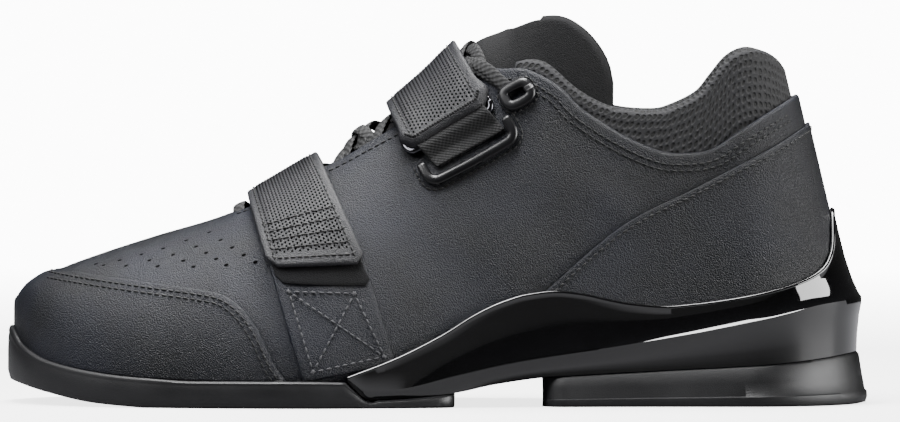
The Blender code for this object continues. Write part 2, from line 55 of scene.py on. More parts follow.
# Side lines, seen from the lateral side, as (share of the length, share of the height)
COLLAR_EDGE: Line = (
    (0.545, 0.870), (0.566, 0.850), (0.600, 0.848), (0.638, 0.804), (0.662, 0.751), (0.709, 0.684),
    (0.753, 0.641), (0.783, 0.634), (0.815, 0.644), (0.844, 0.684), (0.874, 0.725), (0.919, 0.781),
    (0.965, 0.832),
)  # fmt: skip
COLLAR_RIM: Line = (
    (0.590, 0.872), (0.618, 0.863), (0.658, 0.791), (0.699, 0.746), (0.748, 0.735), (0.774, 0.748),
    (0.805, 0.784), (0.823, 0.832), (0.841, 0.878), (0.865, 0.896), (0.889, 0.888), (0.908, 0.858),
    (0.930, 0.800),
)  # fmt: skip
COLLAR_FOOT: Line = ((0.600, 0.690), (0.690, 0.560), (0.783, 0.500), (0.874, 0.560), (0.940, 0.620))
TONGUE_TOP: Line = (
    (0.262, 0.430), (0.350, 0.590), (0.430, 0.740), (0.480, 0.880), (0.500, 0.960), (0.545, 0.985),
    (0.577, 0.992), (0.606, 1.000), (0.640, 0.990), (0.669, 0.941), (0.690, 0.865), (0.697, 0.763),
)  # fmt: skip
TOE_CAP_EDGE: Line = (
    (0.053, 0.336), (0.110, 0.321), (0.168, 0.306), (0.226, 0.291), (0.255, 0.277), (0.278, 0.240),
    (0.297, 0.180), (0.312, 0.110), (0.325, 0.070),
)  # fmt: skip
COUNTER_EDGE: Line = (
    (0.614, 0.270), (0.709, 0.450), (0.798, 0.552), (0.874, 0.640), (0.931, 0.712), (0.990, 0.760),
)
CUP_TOP: Line = (
    (0.396, 0.074), (0.450, 0.120), (0.501, 0.176), (0.543, 0.232), (0.573, 0.262), (0.601, 0.280),
    (0.635, 0.288), (0.665, 0.281), (0.694, 0.267), (0.724, 0.255), (0.760, 0.249), (0.795, 0.255),
    (0.836, 0.267), (0.878, 0.285), (0.919, 0.312), (0.945, 0.342), (0.960, 0.384), (0.975, 0.491),
)  # fmt: skip
CUP_RIDGE: Line = (
    (0.396, 0.071), (0.420, 0.038), (0.450, 0.040), (0.522, 0.078), (0.585, 0.109), (0.648, 0.132),
    (0.711, 0.153), (0.744, 0.165), (0.816, 0.193), (0.878, 0.221), (0.932, 0.255), (0.975, 0.268),
)  # fmt: skip
CUP_FOOT: Line = (
    (0.396, 0.065), (0.422, 0.022), (0.514, 0.036), (0.565, 0.058), (0.622, 0.075), (0.752, 0.092),
    (0.878, 0.107), (0.932, 0.120), (0.975, 0.134),
)  # fmt: skip
OUTSOLE_TOP: Line = (
    (0.012, 0.196), (0.026, 0.150), (0.055, 0.114), (0.110, 0.088), (0.157, 0.077), (0.226, 0.069),
    (0.340, 0.069), (0.392, 0.067),
)  # fmt: skip
OUTSOLE_FOOT: Line = ((0.012, 0.060), (0.055, 0.034), (0.110, 0.010), (0.165, 0.000))
THROAT: Line = (  # half the gap as a share of the ball width
    (0.258, 0.000), (0.262, 0.045), (0.275, 0.080), (0.340, 0.105), (0.440, 0.135), (0.560, 0.190),
    (0.700, 0.300),
)  # fmt: skip
THROAT_END = 0.62
LACE_ROWS = (0.285, 0.330, 0.375, 0.420, 0.465, 0.510, 0.550)

# Sections of the last: share of the length, centre, half width and ridge as shares of the ball
# width, feather and crown as shares of the height, and how square the arch is
SECTION_COLUMNS = ("at", "centre", "half", "feather", "crown", "ridge", "square")
LAST_SECTIONS = (
    (0.012, 0.100, 0.425, 0.190, 0.256, 0.00, 2.3),
    (0.026, 0.098, 0.430, 0.140, 0.296, 0.00, 2.3),
    (0.055, 0.095, 0.440, 0.112, 0.334, 0.00, 2.3),
    (0.110, 0.085, 0.460, 0.088, 0.380, 0.01, 2.3),
    (0.170, 0.065, 0.482, 0.075, 0.423, 0.02, 2.2),
    (0.258, 0.025, 0.500, 0.069, 0.483, 0.03, 2.1),
    (0.340, -0.005, 0.492, 0.069, 0.580, 0.04, 2.0),
    (0.400, -0.020, 0.465, 0.072, 0.664, 0.04, 1.9),
    (0.490, -0.030, 0.405, 0.104, 0.820, 0.04, 1.9),
    (0.560, -0.028, 0.365, 0.146, 0.985, 0.03, 2.0),
    (0.640, -0.015, 0.345, 0.184, 1.190, 0.01, 2.1),
    (0.760, 0.000, 0.335, 0.223, 1.300, 0.00, 2.2),
    (0.880, 0.000, 0.330, 0.247, 1.300, 0.00, 2.2),
    (0.975, 0.000, 0.320, 0.250, 1.250, 0.00, 2.2),
)


class Side(Enum):
    """The two sides of the shoe, with the sign of their Y."""

    LATERAL = -1
    MEDIAL = 1


@dataclass(frozen=True)
class ShoeSizes:
    """Sizes that several pieces share, in metres, as in the part's source."""

    length: float = 0.302
    height: float = 0.137
    ball_width: float = 0.100
    wall: float = 0.0024
    overlay: float = 0.0012
    strap: float = 0.0022
    clearance: float = 0.0003
    back_lean: float = 0.236
    toe_at: float = 0.012
    heel_at: float = 0.975
    toe_round: float = 0.17
    heel_round: float = 0.12
    lean_at: float = 0.78
    cup_at: float = 0.396


SIZES = ShoeSizes()


def smooth_column(xs: Array, ys: Array, at: Array) -> Array:
    """Reads a table's column on a curve that never overshoots its rows.

    Args:
        xs: The rows' places, rising.
        ys: The rows' values.
        at: Where to read it.

    Returns:
        The values there.
    """
    slopes = np.diff(ys) / np.diff(xs)
    tangents = np.zeros_like(ys)
    tangents[0], tangents[-1] = slopes[0], slopes[-1]
    for i in range(1, len(xs) - 1):
        before, after = slopes[i - 1], slopes[i]
        if before * after > 0:
            tangents[i] = 2 * before * after / (before + after)
    at = np.clip(at, xs[0], xs[-1])
    k = np.clip(np.searchsorted(xs, at, side="right") - 1, 0, len(xs) - 2)
    width = xs[k + 1] - xs[k]
    t = (at - xs[k]) / width
    return (
        ys[k] * (1 + 2 * t) * (1 - t) ** 2
        + width * tangents[k] * t * (1 - t) ** 2
        + ys[k + 1] * t * t * (3 - 2 * t)
        - width * tangents[k + 1] * t * t * (1 - t)
    )


def read_line(line: Line, at: Array | float) -> Array:
    """The height share of a side line at a share of the length."""
    rows = np.array(line)
    return smooth_column(rows[:, 0], rows[:, 1], np.asarray(at, dtype=float))


def side_spot(at: float, up: float) -> tuple[float, float]:
    """A side-view place in metres, from its shares of the length and the height."""
    return (at - 0.5) * SIZES.length, up * SIZES.height


def curve_through(line: Line, steps: int = 8) -> Array:
    """A smooth line through side-view spots.

    Args:
        line: Spots as shares of the length and the height.
        steps: Steps between two spots.

    Returns:
        Rows of (x, z) in metres.
    """
    places = [np.array(side_spot(at, up)) for at, up in line]
    rows = []
    last = len(places) - 1
    for i in range(last):
        a, b, c, d = (places[min(max(j, 0), last)] for j in (i - 1, i, i + 1, i + 2))
        for step in range(steps):
            t = step / steps
            square, cube = t * t, t * t * t
            bend = (2 * a - 5 * b + 4 * c - d) * square
            rows.append(0.5 * (2 * b + (c - a) * t + bend + (3 * b - a - 3 * c + d) * cube))
    return np.array(rows + [places[-1]])


def inset(line: Array, distance: float) -> Array:
    """A side-view line moved to its right-hand side, as seen along it."""
    along = np.gradient(line, axis=0)
    along /= np.linalg.norm(along, axis=1, keepdims=True)
    return line + np.stack((along[:, 1], -along[:, 0]), axis=1) * distance


def ease(low: float, high: float, value: Array | float) -> Array:
    """0 below low, 1 above high, and a soft slope between."""
    t = np.clip((np.asarray(value, dtype=float) - low) / (high - low), 0, 1)
    return t * t * (3 - 2 * t)


class Last:
    """The foot form that the upper's pieces are laid on.

    A place on it is a station t, from 0 at the toe to 1 at the heel, and an angle, from 0 at the
    lateral feather edge over the top to pi at the medial one.
    """

    SAMPLES = 4001

    def __init__(self, sizes: ShoeSizes) -> None:
        """Reads the sections onto a fine, even scale.

        Args:
            sizes: The shoe's sizes.
        """
        self.sizes = sizes
        rows = np.array(LAST_SECTIONS)
        self.scale = np.linspace(sizes.toe_at, sizes.heel_at, self.SAMPLES)
        self.columns = {
            name: smooth_column(rows[:, 0], rows[:, i], self.scale)
            for i, name in enumerate(SECTION_COLUMNS)
            if i
        }

    def column(self, name: str, at: Array | float) -> Array:
        """A section column at a share of the length."""
        return np.interp(at, self.scale, self.columns[name])

    def share_at(self, t: Array | float) -> Array:
        """The share of the length at a station."""
        s = self.sizes
        return s.toe_at + (s.heel_at - s.toe_at) * (1 - np.cos(np.pi * np.asarray(t, dtype=float))) / 2

    def t_at(self, at: Array | float) -> Array:
        """The station at a share of the length."""
        s = self.sizes
        share = np.clip((np.asarray(at, dtype=float) - s.toe_at) / (s.heel_at - s.toe_at), 0, 1)
        return np.arccos(1 - 2 * share) / np.pi

    def half_width(self, at: Array | float) -> Array:
        """Half the last's width, rounded off at toe and heel."""
        s = self.sizes
        toe = np.clip((at - s.toe_at) / s.toe_round, 0, 1)
        heel = np.clip((s.heel_at - at) / s.heel_round, 0, 1)
        rounding = np.sqrt(1 - (1 - toe) ** 2.2) * np.sqrt(1 - (1 - heel) ** 2.2)
        return self.column("half", at) * s.ball_width * rounding

    def lean(self, at: Array | float) -> Array:
        """How far the sections lean forward, for each metre up."""
        s = self.sizes
        return s.back_lean * np.clip((at - s.lean_at) / (s.heel_at - s.lean_at), 0, 1) ** 1.5

    def place(self, t: Array | float, angle: Array | float) -> Array:
        """Points of the surface.

        Args:
            t: Stations, from 0 at the toe to 1 at the heel.
            angle: Angles about the length, from 0 on the lateral side to pi on the medial side.

        Returns:
            An array whose last axis is x, y, z.
        """
        s = self.sizes
        at = self.share_at(t)
        angle = np.asarray(angle, dtype=float)
        power = 2 / self.column("square", at)
        across, over = np.cos(angle), np.clip(np.sin(angle), 0, 1)
        feather = self.column("feather", at) * s.height
        crown = self.column("crown", at) * s.height
        centre = (self.column("centre", at) + self.column("ridge", at) * over**2) * s.ball_width
        y = centre - np.sign(across) * np.abs(across) ** power * self.half_width(at)
        rise = (crown - feather) * over**power
        x = (at - 0.5) * s.length - self.lean(at) * rise
        return np.stack(np.broadcast_arrays(x, y, feather + rise), axis=-1)

    def out(self, t: Array | float, angle: Array | float) -> Array:
        """The outward directions at places of the surface.

        Args:
            t: Stations.
            angle: Angles about the length.

        Returns:
            Unit vectors, as an array whose last axis is x, y, z.
        """
        t, angle = np.broadcast_arrays(np.asarray(t, dtype=float), np.asarray(angle, dtype=float))
        step = 0.01
        inner_t = np.clip(t, 0.03, 0.97)
        inner_angle = np.clip(angle, step, np.pi - step)
        along = self.place(inner_t + step, inner_angle) - self.place(inner_t - step, inner_angle)
        over = self.place(inner_t, inner_angle + step) - self.place(inner_t, inner_angle - step)
        facing = np.cross(along, over)
        facing /= np.linalg.norm(facing, axis=-1, keepdims=True)
        end = np.clip(np.minimum(t, 1 - t) / 0.03, 0, 1)  # the two sides meet at the poles
        facing[..., 1] *= end
        return facing / np.linalg.norm(facing, axis=-1, keepdims=True)

    def lay(self, t: Array | float, angle: Array | float, offset: Array | float) -> Array:
        """Points at a height above the surface."""
        return self.place(t, angle) + self.out(t, angle) * np.asarray(offset, dtype=float)[..., None]

    def from_side(self, line: Array, side: Side) -> tuple[Array, Array]:
        """Where a side-view line meets the surface.

        Args:
            line: Rows of (x, z) in metres.
            side: Which side it is laid on.

        Returns:
            The stations and the angles.
        """
        s = self.sizes
        x, z = line[..., 0], line[..., 1]
        at = x / s.length + 0.5
        for _ in range(30):
            feather = self.column("feather", at) * s.height
            crown = self.column("crown", at) * s.height
            rise = np.clip(z - feather, 0, crown - feather)
            at = np.clip(x / s.length + 0.5 + self.lean(at) * rise / s.length, s.toe_at, s.heel_at)
        over = np.clip((z - feather) / (crown - feather), 0, 1)
        angle = np.arcsin(over ** (self.column("square", at) / 2))
        return self.t_at(at), angle if side is Side.LATERAL else np.pi - angle

    def side_line(self, line: Array, side: Side, offset: float) -> Array:
        """A side-view line laid at a height above the surface."""
        return self.lay(*self.from_side(line, side), offset)

    def gap_angle(self, at: Array | float) -> Array:
        """The angle at the throat's half width, on the lateral side."""
        half_gap = read_line(THROAT, at) * self.sizes.ball_width
        ridge = np.maximum(self.half_width(at), 1e-6)
        across = np.clip(half_gap / ridge, 0, 1) ** (self.column("square", at) / 2)
        return np.arccos(across)

    def throat_angle(self, at: Array | float) -> Array:
        """The angle of the throat's lateral edge, a quarter turn ahead of the throat and behind it."""
        open_here = (np.asarray(at) > THROAT[0][0]) & (np.asarray(at) < THROAT_END)
        return np.where(open_here, self.gap_angle(at), np.pi / 2)

    def outline(self, t: Array | float, side: Side) -> Array:
        """Points of the outline from above, as x and y."""
        at = self.share_at(t)
        y = self.column("centre", at) * self.sizes.ball_width + side.value * self.half_width(at)
        return np.stack(np.broadcast_arrays((at - 0.5) * self.sizes.length, y), axis=-1)

    def outline_out(self, t: Array, side: Side) -> Array:
        """The directions that point out of the outline.

        Args:
            t: Stations.
            side: The side of the shoe.

        Returns:
            One flat unit vector for each station.
        """
        step = 0.004
        inner = np.clip(t, step, 1 - step)
        along = self.outline(inner + step, side) - self.outline(inner - step, side)
        along /= np.linalg.norm(along, axis=-1, keepdims=True)
        facing = np.stack((-along[..., 1], along[..., 0]), axis=-1) * side.value
        facing[..., 1] *= np.clip(np.minimum(t, 1 - t) / step, 0, 1)
        return facing / np.linalg.norm(facing, axis=-1, keepdims=True)


LAST = Last(SIZES)


# Mesh making


class Weld:
    """Vertices whose coincident copies are made one."""

    def __init__(self, points: Array, tolerance: float = 2e-5) -> None:
        """Finds the copies.

        Args:
            points: Any number of axes, the last of them x, y, z.
            tolerance: Points nearer than this are one vertex.
        """
        flat = points.reshape(-1, 3)
        keys = np.round(flat / tolerance).astype(np.int64)
        _, first, back = np.unique(keys, axis=0, return_index=True, return_inverse=True)
        self.points = flat[first]
        self.first = first
        self.index = back.reshape(points.shape[:-1])


def mesh_object(
    name: str, points: Array, faces: list[tuple[int, ...]], finish: bpy.types.Material
) -> bpy.types.Object:
    """A shaded mesh whose faces point outwards.

    Args:
        name: The object's name.
        points: Its vertices.
        faces: Corner numbers.
        finish: Its material.

    Returns:
        The object, in the scene.
    """
    kept = [tuple(dict.fromkeys(face)) for face in faces]
    kept = [face for face in kept if len(face) > 2]
    volume = 0.0
    for face in kept:
        for k in range(1, len(face) - 1):
            volume += float(np.dot(points[face[0]], np.cross(points[face[k]], points[face[k + 1]])))
    if volume < 0:
        kept = [face[::-1] for face in kept]
    mesh = bpy.data.meshes.new(name)
    mesh.from_pydata(points.tolist(), [], kept)
    mesh.materials.append(finish)
    mesh.shade_smooth()
    mesh.set_sharp_from_angle(angle=math.radians(48))
    made = bpy.data.objects.new(name, mesh)
    bpy.context.scene.collection.objects.link(made)
    return made


def slab(
    name: str,
    outer: Array,
    inner: Array,
    finish: bpy.types.Material,
    cells: Array | None = None,
    bulge: float = 1.0,
    uv: Array | None = None,
) -> bpy.types.Object:
    """A closed sheet of some thickness with a rounded rim, through two grids of points.

    Args:
        name: The object's name.
        outer: The outer face, rows by columns of points.
        inner: The inner face.
        finish: Its material.
        cells: Which grid cells are there, or None for all.
        bulge: How far the rim rounds out, as a share of half the thickness.
        uv: Places for a pattern that follows the sheet, in metres.

    Returns:
        The object.
    """
    rows, columns = outer.shape[:2]
    cells = np.ones((rows - 1, columns - 1), dtype=bool) if cells is None else cells
    weld = Weld(outer)
    index, count = weld.index, len(weld.points)
    under = inner.reshape(-1, 3)[weld.first]
    top = []
    for i in range(rows - 1):
        for j in range(columns - 1):
            if cells[i, j]:
                face = (index[i, j], index[i + 1, j], index[i + 1, j + 1], index[i, j + 1])
                face = tuple(dict.fromkeys(int(corner) for corner in face))
                if len(face) > 2:
                    top.append(face)
    edges = {(face[k - 1], face[k]) for face in top for k in range(len(face))}
    border = [(a, b) for a, b in edges if (b, a) not in edges]
    mids, halves = (weld.points + under) / 2, (weld.points - under) / 2
    facing = halves / np.maximum(np.linalg.norm(halves, axis=1, keepdims=True), 1e-9)
    outward = np.zeros_like(mids)
    for a, b in border:
        side = np.cross(weld.points[b] - weld.points[a], facing[a])
        side /= max(np.linalg.norm(side), 1e-9)
        outward[a] += side
        outward[b] += side
    outward /= np.maximum(np.linalg.norm(outward, axis=1, keepdims=True), 1e-9)
    turn_sign = 1.0
    if top:
        face = top[len(top) // 2]
        a, b, c = (weld.points[face[k]] for k in range(3))
        turn_sign = 1.0 if np.dot(np.cross(b - a, c - b), facing[face[0]]) > 0 else -1.0
    around = sorted({corner for edge in border for corner in edge})
    slot = {corner: k for k, corner in enumerate(around)}
    thick = np.linalg.norm(halves, axis=1, keepdims=True)
    points, faces = [weld.points, under], list(top)
    faces += [tuple(corner + count for corner in face[::-1]) for face in top]
    loops = [around]
    start = 2 * count
    for turn in (45, 90, 135):
        spread = math.sin(math.radians(turn)) * bulge * turn_sign
        ring = mids + halves * math.cos(math.radians(turn)) + outward * thick * spread
        points.append(ring[around])
        loops.append(list(range(start, start + len(around))))
        start += len(around)
    loops.append([corner + count for corner in around])
    for near, far in zip(loops, loops[1:]):
        for a, b in border:
            faces.append((near[slot[b]], near[slot[a]], far[slot[a]], far[slot[b]]))
    made = mesh_object(name, np.concatenate(points), faces, finish)
    if uv is not None:
        flat = uv.reshape(-1, 2)[weld.first]
        rims = [flat[around] - np.array((0.0, 1.0)) * thick[around] * k for k in (0.8, 1.6, 2.4)]
        spread_uv = np.concatenate([flat, flat] + rims)
        write_uv(made, spread_uv)
    return made


def write_uv(made: bpy.types.Object, uv: Array) -> None:
    """Gives each vertex its place in a flat pattern.

    Args:
        made: A mesh object.
        uv: One place for each vertex.
    """
    corners = np.empty(len(made.data.loops), dtype=np.int32)
    made.data.loops.foreach_get("vertex_index", corners)
    layer = made.data.uv_layers.new(name="UVMap")
    layer.data.foreach_set("uv", uv[corners].astype(np.float32).ravel())


def skin(name: str, rings: Array, finish: bpy.types.Material, uv: Array | None = None) -> bpy.types.Object:
    """A closed solid through rings of as many points each; ends that don't meet are filled.

    Args:
        name: The object's name.
        rings: Rings by points by x, y, z.
        finish: Its material.
        uv: Places for a pattern, in metres, rings by points.

    Returns:
        The object.
    """
    count, around = rings.shape[:2]
    weld = Weld(rings)
    index = weld.index
    faces = []
    for i in range(count - 1):
        for j in range(around):
            k = (j + 1) % around
            faces.append(tuple(int(v) for v in (index[i, j], index[i, k], index[i + 1, k], index[i + 1, j])))
    for ring in (index[0][::-1], index[-1]):
        for j in range((around - 1) // 2):
            corners = (ring[j], ring[j + 1], ring[around - 2 - j], ring[around - 1 - j])
            faces.append(tuple(int(corner) for corner in corners))
    made = mesh_object(name, weld.points, faces, finish)
    if uv is not None:
        write_uv(made, uv.reshape(-1, 2)[weld.first])
    return made


def sweep(
    name: str,
    path: Array,
    facing: Array,
    wide: float,
    thick: float,
    finish: bpy.types.Material,
    closed: bool = False,
    around: int = 12,
) -> bpy.types.Object:
    """A bar of rounded flat section along a path.

    Args:
        name: The object's name.
        path: Its middle line.
        facing: The direction of its flat face at each point.
        wide: Full width.
        thick: Full thickness.
        finish: Its material.
        closed: Whether the path meets itself.
        around: Points round the section.

    Returns:
        The object, with UVs in metres along and around it.
    """
    if closed:
        path, facing = np.concatenate((path, path[:1])), np.concatenate((facing, facing[:1]))
        along = np.gradient(np.concatenate((path[-2:-1], path, path[1:2])), axis=0)[1:-1]
    else:
        along = np.gradient(path, axis=0)
    along /= np.linalg.norm(along, axis=1, keepdims=True)
    across = np.cross(facing, along)
    across /= np.linalg.norm(across, axis=1, keepdims=True)
    up = np.cross(along, across)
    turns = np.linspace(0, 2 * np.pi, around, endpoint=False)
    flat = np.sign(np.cos(turns)) * np.abs(np.cos(turns)) ** 0.8 * wide / 2
    tall = np.sign(np.sin(turns)) * np.abs(np.sin(turns)) ** 0.8 * thick / 2
    sizes, stations = np.ones(len(path)), path
    if not closed:
        cap = np.array((1.0, 0.8, 0.45, 0.0))
        shift = np.sqrt(1 - cap**2) * thick / 2
        head = path[0] - along[0] * shift[::-1, None]
        tail = path[-1] + along[-1] * shift[:, None]
        stations = np.concatenate((head[:-1], path, tail[1:]))
        sizes = np.concatenate((cap[::-1][:-1], sizes, cap[1:]))
        pad = len(cap) - 1
        across = np.concatenate((np.repeat(across[:1], pad, 0), across, np.repeat(across[-1:], pad, 0)))
        up = np.concatenate((np.repeat(up[:1], pad, 0), up, np.repeat(up[-1:], pad, 0)))
    ring = across[:, None] * flat[None, :, None] + up[:, None] * tall[None, :, None]
    rings = stations[:, None] + ring * sizes[:, None, None]
    lengths = np.concatenate(([0], np.cumsum(np.linalg.norm(np.diff(stations, axis=0), axis=1))))
    girth = turns / (2 * np.pi) * 2 * (wide + thick)
    uv = np.stack(np.broadcast_arrays(girth[None, :], lengths[:, None]), axis=-1)
    return skin(name, rings, finish, uv)


def sheet_uv(grid: Array) -> Array:
    """Places in metres across and along a grid of points, measured on the grid itself.

    Args:
        grid: The points, row by row.

    Returns:
        Two coordinates for each point.
    """
    down_steps = np.linalg.norm(np.diff(grid, axis=0), axis=2)
    side_steps = np.linalg.norm(np.diff(grid, axis=1), axis=2)
    across = np.concatenate((np.zeros((1, grid.shape[1])), np.cumsum(down_steps, axis=0)))
    along = np.concatenate((np.zeros((grid.shape[0], 1)), np.cumsum(side_steps, axis=1)), axis=1)
    return np.stack((across - across.max(axis=0) / 2, along), axis=-1)


def join(name: str, objects: list[bpy.types.Object]) -> bpy.types.Object:
    """Several meshes made one object, each keeping its own material.

    Args:
        name: The new name.
        objects: Mesh objects at the origin.

    Returns:
        The first of them, holding all.
    """
    with bpy.context.temp_override(
        active_object=objects[0], selected_objects=objects, selected_editable_objects=objects
    ):
        bpy.ops.object.join()
    objects[0].name = name
    objects[0].data.name = name
    return objects[0]


def dress(made: bpy.types.Object, slot: str, *nodes: str) -> bpy.types.Object:
    """Ties a finished piece to the frame.

    Args:
        made: The piece.
        slot: The record's material slot; not used.
        nodes: The nodes it stands for, if any.

    Returns:
        The piece.
    """
    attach(made, "root")
    if nodes:
        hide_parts(*nodes)
    LOG.info("%s: %d faces", made.name, len(made.data.polygons))
    return made


# Geometry Nodes for what repeats


def set_input(modifier: bpy.types.NodesModifier, name: str, value: object) -> None:
    """Sets a modifier's named input through its socket's identifier."""
    for item in modifier.node_group.interface.items_tree:
        if item.item_type == "SOCKET" and item.in_out == "INPUT" and item.name == name:
            modifier[item.identifier] = value


class Repeats:
    """The two trees that set small pieces: along lines, and on a surface."""

    def __init__(self) -> None:
        """Builds both trees."""
        self.along_lines = self.line_tree()
        self.on_surface = self.surface_tree()

    @staticmethod
    def start(name: str, inputs: Sequence[tuple[str, str]]) -> bpy.types.NodeTree:
        """An empty tree with its named inputs.

        Args:
            name: Its name.
            inputs: Each input's name and socket type.

        Returns:
            The tree.
        """
        tree = bpy.data.node_groups.new(name, "GeometryNodeTree")
        tree.interface.new_socket("Geometry", in_out="INPUT", socket_type="NodeSocketGeometry")
        for label, kind in inputs:
            tree.interface.new_socket(label, in_out="INPUT", socket_type=kind)
        tree.interface.new_socket("Geometry", in_out="OUTPUT", socket_type="NodeSocketGeometry")
        return tree

    @staticmethod
    def end(
        tree: bpy.types.NodeTree,
        given: bpy.types.Node,
        points: bpy.types.NodeSocket,
        rotation: bpy.types.NodeSocket,
    ) -> None:
        """The shared tail: a bead on each point, realised, with its material.

        Args:
            tree: The tree.
            given: Its group input.
            points: Where the beads go.
            rotation: How each is turned.
        """
        nodes, links = tree.nodes, tree.links
        bead = nodes.new("GeometryNodeMeshUVSphere")
        bead.inputs["Segments"].default_value = 8
        bead.inputs["Rings"].default_value = 5
        bead.inputs["Radius"].default_value = 0.5
        placed = nodes.new("GeometryNodeInstanceOnPoints")
        smooth = nodes.new("GeometryNodeSetShadeSmooth")
        real = nodes.new("GeometryNodeRealizeInstances")
        painted = nodes.new("GeometryNodeSetMaterial")
        result = nodes.new("NodeGroupOutput")
        links.new(bead.outputs["Mesh"], placed.inputs["Instance"])
        links.new(points, placed.inputs["Points"])
        links.new(rotation, placed.inputs["Rotation"])
        links.new(given.outputs["Size"], placed.inputs["Scale"])
        links.new(placed.outputs["Instances"], real.inputs["Geometry"])
        links.new(real.outputs["Geometry"], smooth.inputs["Geometry"])
        links.new(smooth.outputs["Geometry"], painted.inputs["Geometry"])
        links.new(given.outputs["Material"], painted.inputs["Material"])
        links.new(painted.outputs["Geometry"], result.inputs["Geometry"])

    def line_tree(self) -> bpy.types.NodeTree:
        """Beads at even spacing along lines, their long axis along the line."""
        kinds = (
            ("Spacing", "NodeSocketFloat"),
            ("Size", "NodeSocketVector"),
            ("Material", "NodeSocketMaterial"),
        )
        tree = self.start("Stitches along lines", kinds)
        given = tree.nodes.new("NodeGroupInput")
        points = tree.nodes.new("GeometryNodeCurveToPoints")
        points.mode = "LENGTH"
        tree.links.new(given.outputs["Geometry"], points.inputs["Curve"])
        tree.links.new(given.outputs["Spacing"], points.inputs["Length"])
        self.end(tree, given, points.outputs["Points"], points.outputs["Rotation"])
        return tree

    def surface_tree(self) -> bpy.types.NodeTree:
        """A bead on each vertex, turned by the vertex's own out and along directions."""
        tree = self.start(
            "Studs on a surface", (("Size", "NodeSocketVector"), ("Material", "NodeSocketMaterial"))
        )
        given = tree.nodes.new("NodeGroupInput")
        turns = []
        for label, axis, pivot in (("out", "Z", "AUTO"), ("along", "X", "Z")):
            named = tree.nodes.new("GeometryNodeInputNamedAttribute")
            named.data_type = "FLOAT_VECTOR"
            named.inputs["Name"].default_value = label
            turn = tree.nodes.new("FunctionNodeAlignRotationToVector")
            turn.axis = axis
            turn.pivot_axis = pivot
            tree.links.new(named.outputs["Attribute"], turn.inputs["Vector"])
            if turns:
                tree.links.new(turns[-1].outputs["Rotation"], turn.inputs["Rotation"])
            turns.append(turn)
        points = tree.nodes.new("GeometryNodeMeshToPoints")
        tree.links.new(given.outputs["Geometry"], points.inputs["Mesh"])
        self.end(tree, given, points.outputs["Points"], turns[-1].outputs["Rotation"])
        return tree

    @staticmethod
    def settle(name: str, source: bpy.types.Object) -> bpy.types.Object:
        """Turns the evaluated result into a plain mesh and removes the source with its modifier.

        Args:
            name: The result's name.
            source: The object that carries the modifier.

        Returns:
            The plain mesh object.
        """
        graph = bpy.context.evaluated_depsgraph_get()
        mesh = bpy.data.meshes.new_from_object(source.evaluated_get(graph))
        bpy.data.objects.remove(source)
        mesh.name = name
        made = bpy.data.objects.new(name, mesh)
        bpy.context.scene.collection.objects.link(made)
        return made

    def stitches(
        self,
        name: str,
        lines: Sequence[Array],
        finish: bpy.types.Material,
        spacing: float = 0.0026,
        size: tuple[float, float, float] = (0.00072, 0.00072, 0.0020),
    ) -> bpy.types.Object:
        """Thread stitches along lines.

        Args:
            name: The piece's name.
            lines: The seams, each rows of x, y, z.
            finish: The thread's material.
            spacing: From one stitch to the next.
            size: Width, height and length of a stitch.

        Returns:
            One plain mesh.
        """
        data = bpy.data.curves.new(name + "_lines", "CURVE")
        data.dimensions = "3D"
        for line in lines:
            spline = data.splines.new("POLY")
            spline.points.add(len(line) - 1)
            spline.points.foreach_set("co", np.column_stack((line, np.ones(len(line)))).ravel())
        source = bpy.data.objects.new(name + "_lines", data)
        bpy.context.scene.collection.objects.link(source)
        modifier = source.modifiers.new("Stitches", "NODES")
        modifier.node_group = self.along_lines
        set_input(modifier, "Spacing", spacing)
        set_input(modifier, "Size", size)
        set_input(modifier, "Material", finish)
        return self.settle(name, source)

    def studs(
        self,
        name: str,
        places: Array,
        out: Array,
        along: Array,
        size: tuple[float, float, float],
        finish: bpy.types.Material,
    ) -> bpy.types.Object:
        """Small domes or discs on a surface.

        Args:
            name: The piece's name.
            places: Where each sits.
            out: Which way each faces.
            along: Which way each one's long axis points.
            size: Length, width and height.
            finish: Their material.

        Returns:
            One plain mesh.
        """
        mesh = bpy.data.meshes.new(name + "_places")
        mesh.from_pydata(places.reshape(-1, 3).tolist(), [], [])
        for label, values in (("out", out), ("along", along)):
            attribute = mesh.attributes.new(label, "FLOAT_VECTOR", "POINT")
            attribute.data.foreach_set("vector", values.reshape(-1, 3).astype(np.float32).ravel())
        source = bpy.data.objects.new(name + "_places", mesh)
        bpy.context.scene.collection.objects.link(source)
        modifier = source.modifiers.new("Studs", "NODES")
        modifier.node_group = self.on_surface
        set_input(modifier, "Size", size)
        set_input(modifier, "Material", finish)
        return self.settle(name, source)


# Finishes


